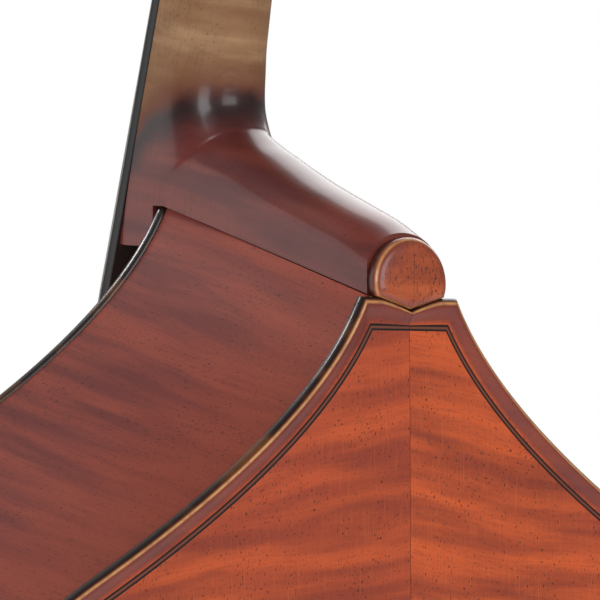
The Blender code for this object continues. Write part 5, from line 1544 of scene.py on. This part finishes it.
# ---------------------------------------------------------------- tailpiece, bridge and endpin
# The tailpiece's distance down, half width and height.
TAIL_SHAPE = ((0.000, 0.0400, 0.0050), (0.012, 0.0425, 0.0078), (0.040, 0.0415, 0.0090),
              (0.140, 0.0330, 0.0090), (0.250, 0.0265, 0.0085), (0.292, 0.0250, 0.0075),
              (0.300, 0.0235, 0.0055))
BRIDGE_THICKNESS = 0.0200


def make_tailpiece(material):
    """A long domed plate with softened ends, four string holes, and two holes for the wire."""
    rows = spline_rows(TAIL_SHAPE, 90)
    sections = []
    for distance, half, height in rows:
        ring = []
        for angle in np.linspace(0, math.pi, 41):
            x = half * math.cos(angle)
            ring.append(tail_line(distance, height * (0.35 + 0.65 * math.sin(angle)), x))
        ring += [tail_line(distance, -0.0028, -half), tail_line(distance, -0.004, -half + 0.0012),
                 tail_line(distance, -0.004, half - 0.0012), tail_line(distance, -0.0028, half)]
        sections.append([tuple(p) for p in ring])
    mesh = loft("tailpiece", sections)
    across = (tail_line(0, 1) - tail_line(0)).to_track_quat("Z", "X").to_matrix().to_4x4()
    lean = (tail_line(1) - tail_line(0)).to_track_quat("-Z", "X").to_matrix().to_4x4()
    holes = [(radius + 0.0012, tail_line(TAIL_HOLE, 0, share * TAIL_SPREAD), across)
             for radius, share in zip(STRING_RADII, STRING_SIDES)]
    holes += [(WIRE_RADIUS + 0.0008, tail_line(TAIL_LENGTH, 0, side * WIRE_HALF_GAP), lean)
              for side in (-1, 1)]
    for radius, place, turn in holes:
        hole = cylinder(radius, -0.03, 0.03, 28)
        mesh = boolean(mesh, placed(hole, Matrix.Translation(place) @ turn))
    mesh = smooth_mesh(mesh, math.radians(35))
    return piece("tailpiece_domed", mesh, material, ["tailpiece"])


def make_bridge(material):
    """Feet, legs, waist, wings, heart and eyes in one board that thins towards the strings."""
    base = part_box("bridge")[1].y
    tall = base - BRIDGE_TOP_Y
    corners = [(0, 0.0500), (0.0190, 0.052), (0.0300, 0.036), (0.0400, 0.0100), (0.0420, 0.0012)]
    foot = [(0.0423, 0.0), (0.0800, 0.0), (0.0806, 0.0040)]
    flank = [(0.0800, 0.0070), (0.0700, 0.0120), (0.0640, 0.0250), (0.0640, 0.0400), (0.0740, 0.0500),
             (0.0760, 0.0560), (0.0680, 0.0600), (0.0610, 0.0660), (0.0640, 0.0740), (0.0690, 0.0800),
             (0.0640, 0.0860), (0.0560, 0.1000), (0.0500, 0.1150)]
    top_half = BRIDGE_SPREAD + 0.0075
    top = []
    for x in np.linspace(top_half, 0, 40):
        top.append((x, tall - BRIDGE_CURVE + math.sqrt(BRIDGE_CURVE ** 2 - x * x)))
    flank.append((top_half + 0.0008, top[0][1] - 0.006))
    half = list(spline_rows(corners, 40)) + foot + list(spline_rows(flank, 120)) + top
    outline = [(x, h) for x, h in half] + [(-x, h) for x, h in half[-2:0:-1]]
    heart = []
    for angle in np.linspace(0, 2 * math.pi, 64, endpoint=False):
        up = math.cos(angle)
        heart.append((0.0125 * math.sin(angle), 0.083 + 0.012 * up * (1 - 0.25 * up ** 2)))
    holes = [heart]
    for side in (-1, 1):
        holes.append([(side * 0.040 + 0.0085 * math.cos(t), 0.062 + 0.0120 * math.sin(t))
                      for t in np.linspace(0, 2 * math.pi, 48, endpoint=False)])
    plate = bevelled(extruded("bridge", [outline] + holes, BRIDGE_THICKNESS), 0.0009, 2)

    def place(p):
        """Stands the board on the belly, thinner towards its top."""
        thick = 1 - 0.70 * min(max(p.y / tall, 0), 1)
        z = BRIDGE_Z + (p.z + BRIDGE_THICKNESS / 2) * thick - BRIDGE_TOP_HALF + GAP
        return (p.x, base - p.y, z)

    mesh = smooth_mesh(moved(plate, place), math.radians(35))
    return piece("bridge_carved", mesh, material, ["bridge"])


def make_endpin(steel, rubber_material):
    """The polished rod, its ribbed rubber tip and the knurled thumbscrew."""
    rod_box, tip_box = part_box("endpin_rod"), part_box("rubber_tip")
    low, high = rod_box[0].z, rod_box[1].z
    rod = turned([(0, high), (0.0042, high), (0.0050, high - 0.0012), (0.0050, low + 0.0006),
                  (0.0044, low), (0, low)], 48)
    piece("rod_polished", rod, steel, ["endpin_rod"], "endpin")
    top = tip_box[1].z
    profile = [(0.0053, 0.0122), (0.0053, top - 0.0006), (0.0060, top), (0.0088, top),
               (0.0095, top - 0.0008)]
    for i in range(7):
        z = top - 0.0035 - 0.0028 * i
        wide = 0.0105 + 0.00033 * i
        profile += [(wide, z + 0.0008), (wide + 0.0002, z), (wide - 0.0005, z - 0.0008),
                    (wide - 0.0005, z - 0.0014)]
    profile += [(0.0125, 0.018), (0.0155, 0.012), (0.0165, 0.006), (0.0163, 0.0020),
                (0.0150, 0.0), (0, 0), (0, 0.0122)]
    tip = turned(profile + [profile[0]], 64)
    piece("tip_ribbed", tip, rubber_material, ["rubber_tip"], "endpin")
    screw_low, screw_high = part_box("endpin_thumbscrew")
    centre_z = (screw_low.z + screw_high.z) / 2
    length = screw_high.y - screw_low.y
    head = []
    for angle in np.linspace(0, 2 * math.pi, 120, endpoint=False):
        radius = 0.0071 + 0.00028 * math.cos(30 * angle)
        head.append((radius * math.cos(angle), radius * math.sin(angle)))
    knurl = bevelled(extruded("knurl", [head], 0.0090), 0.0004, 2, math.radians(50))
    knurl = placed(knurl, Matrix.Translation((0, 0, 0.0060)))
    shank = turned([(0, 0.0008), (0.0040, 0.0009), (0.0052, 0.0013), (0.0052, 0.0118), (0.0040, 0.0126),
                    (0.0030, 0.0130), (0.0030, length - 0.0006), (0.0026, length), (0, length)], 40)
    place = Matrix.Translation((0, screw_low.y, centre_z)) @ Matrix.Rotation(-math.pi / 2, 4, "X")
    screw = placed(joined("screw", [knurl, shank]), place)
    piece("thumbscrew_knurled", screw, steel, ["endpin_thumbscrew"], "thumbscrew")


def finish_kept_nodes(materials):
    """Gives the model's own pieces that stay in view their final materials."""
    for name, material in materials.items():
        slots = NODES[name].material_slots
        if slots:
            for slot in slots:
                slot.material = material
        else:
            NODES[name].data.materials.append(material)


# ---------------------------------------------------------------- stage, light and camera
CAMERA_PLACE = Vector((2.0593, 2.3243, 1.3042))
CAMERA_AXES = ((-0.7501, 0.6601, 0.0401), (0.0170, -0.0415, 0.9990), (0.6611, 0.7500, 0.0199))
FIELD_LENGTH = 379.74              # focal length on a 36 mm sensor
FOCUS = Vector((0.02, 0.06, 1.25))
FLOOR_HALF, FLOOR_Z = 6, -0.0005
WHITE = (1, 1, 1, 1)
# place, size and power in watts
LIGHTS = {
    "key_light": ((3.3, 2.4, 2.4), (1.9, 2.0), 66),
    "back_light": ((-0.6, 4.0, 2.3), (2.4, 2.2), 58),
    "ridge_light": ((-2.2, -1.5, 3.1), (2.0, 2.4), 42),
    "side_light": ((2.6, -2.9, 1.6), (2.2, 2.6), 20),
    "rib_bloom": ((0.5, -2.6, 3.0), (0.8, 0.8), 26),
}


def make_camera():
    """A camera at the photo's place and direction."""
    camera = linked("camera", bpy.data.cameras.new("camera"))
    camera.data.lens = FIELD_LENGTH
    camera.data.sensor_width = 36
    camera.data.clip_end = 50
    axes = Matrix([unit(np.array(axis)) for axis in CAMERA_AXES]).transposed().to_4x4()
    camera.matrix_world = Matrix.Translation(CAMERA_PLACE) @ axes
    bpy.context.scene.camera = camera


def area_light(name, place, size, power):
    """A white rectangle of light turned to the body's upper part."""
    light = bpy.data.lights.new(name, "AREA")
    light.shape = "RECTANGLE"
    light.size, light.size_y = size
    light.energy = power
    holder = linked(name, light)
    holder.location = place
    holder.rotation_euler = (FOCUS - Vector(place)).to_track_quat("-Z", "Y").to_euler()


def make_stage():
    """A pale floor that gives a little light of its own."""
    half, z = FLOOR_HALF, FLOOR_Z
    corners = [(-half, -half, z), (half, -half, z), (half, half, z), (-half, half, z)]
    floor = linked("floor", mesh_of("floor", corners, [(0, 1, 2, 3)]))
    s = Shading("floor_paint", roughness=0.8, specular=0.2)
    specks = s.noise(s.place(), (3, 3, 3), 3.0)
    s.shader.inputs["Emission Color"].default_value = WHITE
    s.shader.inputs["Emission Strength"].default_value = 0.46
    floor.data.materials.append(s.finish(s.mix(specks, (0.66, 0.66, 0.66), (0.70, 0.70, 0.70))))


def make_world():
    """A dim white sky that the camera sees as white."""
    scene = bpy.context.scene
    world = bpy.data.worlds.new("studio")
    world.use_nodes = True
    scene.world = world
    tree = world.node_tree
    sky = tree.nodes["Background"]
    sky.inputs["Color"].default_value = WHITE
    sky.inputs["Strength"].default_value = 0.22
    white = tree.nodes.new("ShaderNodeBackground")
    white.inputs["Color"].default_value = WHITE
    white.inputs["Strength"].default_value = 1.0
    path = tree.nodes.new("ShaderNodeLightPath")
    pick = tree.nodes.new("ShaderNodeMixShader")
    tree.links.new(path.outputs["Is Camera Ray"], pick.inputs[0])
    tree.links.new(sky.outputs[0], pick.inputs[1])
    tree.links.new(white.outputs[0], pick.inputs[2])
    tree.links.new(pick.outputs[0], tree.nodes["World Output"].inputs["Surface"])
    scene.view_settings.view_transform = "Standard"


# ---------------------------------------------------------------- the whole
make_world()
make_camera()
make_stage()
for name, settings in LIGHTS.items():
    area_light(name, *settings)
BACK_MAPLE = varnished_plate("back_maple", srgb(206, 90, 44), srgb(136, 56, 38))
RIB_MAPLE = varnished_rib("rib_maple", srgb(162, 72, 53), srgb(118, 48, 42))
NECK_MAPLE = varnished_neck("neck_maple", srgb(124, 52, 42), srgb(88, 32, 30), True)
BELLY_SPRUCE = varnished_spruce("belly_spruce")
EBONY = ebony("ebony_long")
for side, label in ((1, "treble"), (-1, "bass")):
    make_back(side, label, BACK_MAPLE)
    make_ribs(side, label, RIB_MAPLE)
    make_belly(side, label, BELLY_SPRUCE)
make_button(button_maple("button_maple"))
make_neck(NECK_MAPLE)
make_fingerboard(EBONY)
make_nut(EBONY)
make_head(varnished_neck("head_maple", srgb(150, 66, 40), srgb(98, 36, 28)))
BRASS = metal("aged_brass", srgb(186, 150, 84), 0.30, (500, 500, 60), srgb(118, 84, 44))
STEEL = metal("bright_steel", srgb(196, 196, 198), 0.22, (900, 900, 40), srgb(140, 140, 142))
STRING_STEEL = string_wire("flat_wound")
for name in POST_ALONG:
    make_machine_plate(name, BRASS)
    make_key(name, BRASS)
    make_gear(name, BRASS)
    make_post(name, STEEL)
WRAPS = {"g": srgb(58, 40, 66), "d": srgb(44, 48, 78), "a": srgb(84, 34, 34), "e": srgb(34, 62, 50)}
for index, name in enumerate(STRING_NAMES):
    make_string(index, STRING_STEEL, silk("silk_" + name, WRAPS[name]))
EBONY_SHORT = ebony("ebony_short", 0.30)
make_tailpiece(EBONY_SHORT)
make_bridge(bridge_maple("bridge_wood"))
make_endpin(STEEL, rubber("tip_rubber"))
INNER_SPRUCE = plain_wood("inner_spruce", srgb(214, 180, 132), srgb(168, 122, 76), (420, 420, 14))
KEPT = {"saddle": EBONY_SHORT, "end_plug": EBONY_SHORT, "end_collar": STEEL, "tail_wire": STEEL}
for name in ("neck_block", "end_block", "bass_bar", "sound_post"):
    KEPT[name] = INNER_SPRUCE
INNER_ACROSS = plain_wood("inner_spruce_across", srgb(210, 176, 128), srgb(164, 118, 72),
                          (14, 420, 420))
for part in ("upper", "bend", "post", "lower"):
    KEPT["back_brace_" + part] = INNER_ACROSS
for part in ("upper", "lower"):
    for label in ("treble", "bass"):
        KEPT["corner_block_" + part + "_" + label] = INNER_SPRUCE
finish_kept_nodes(KEPT)
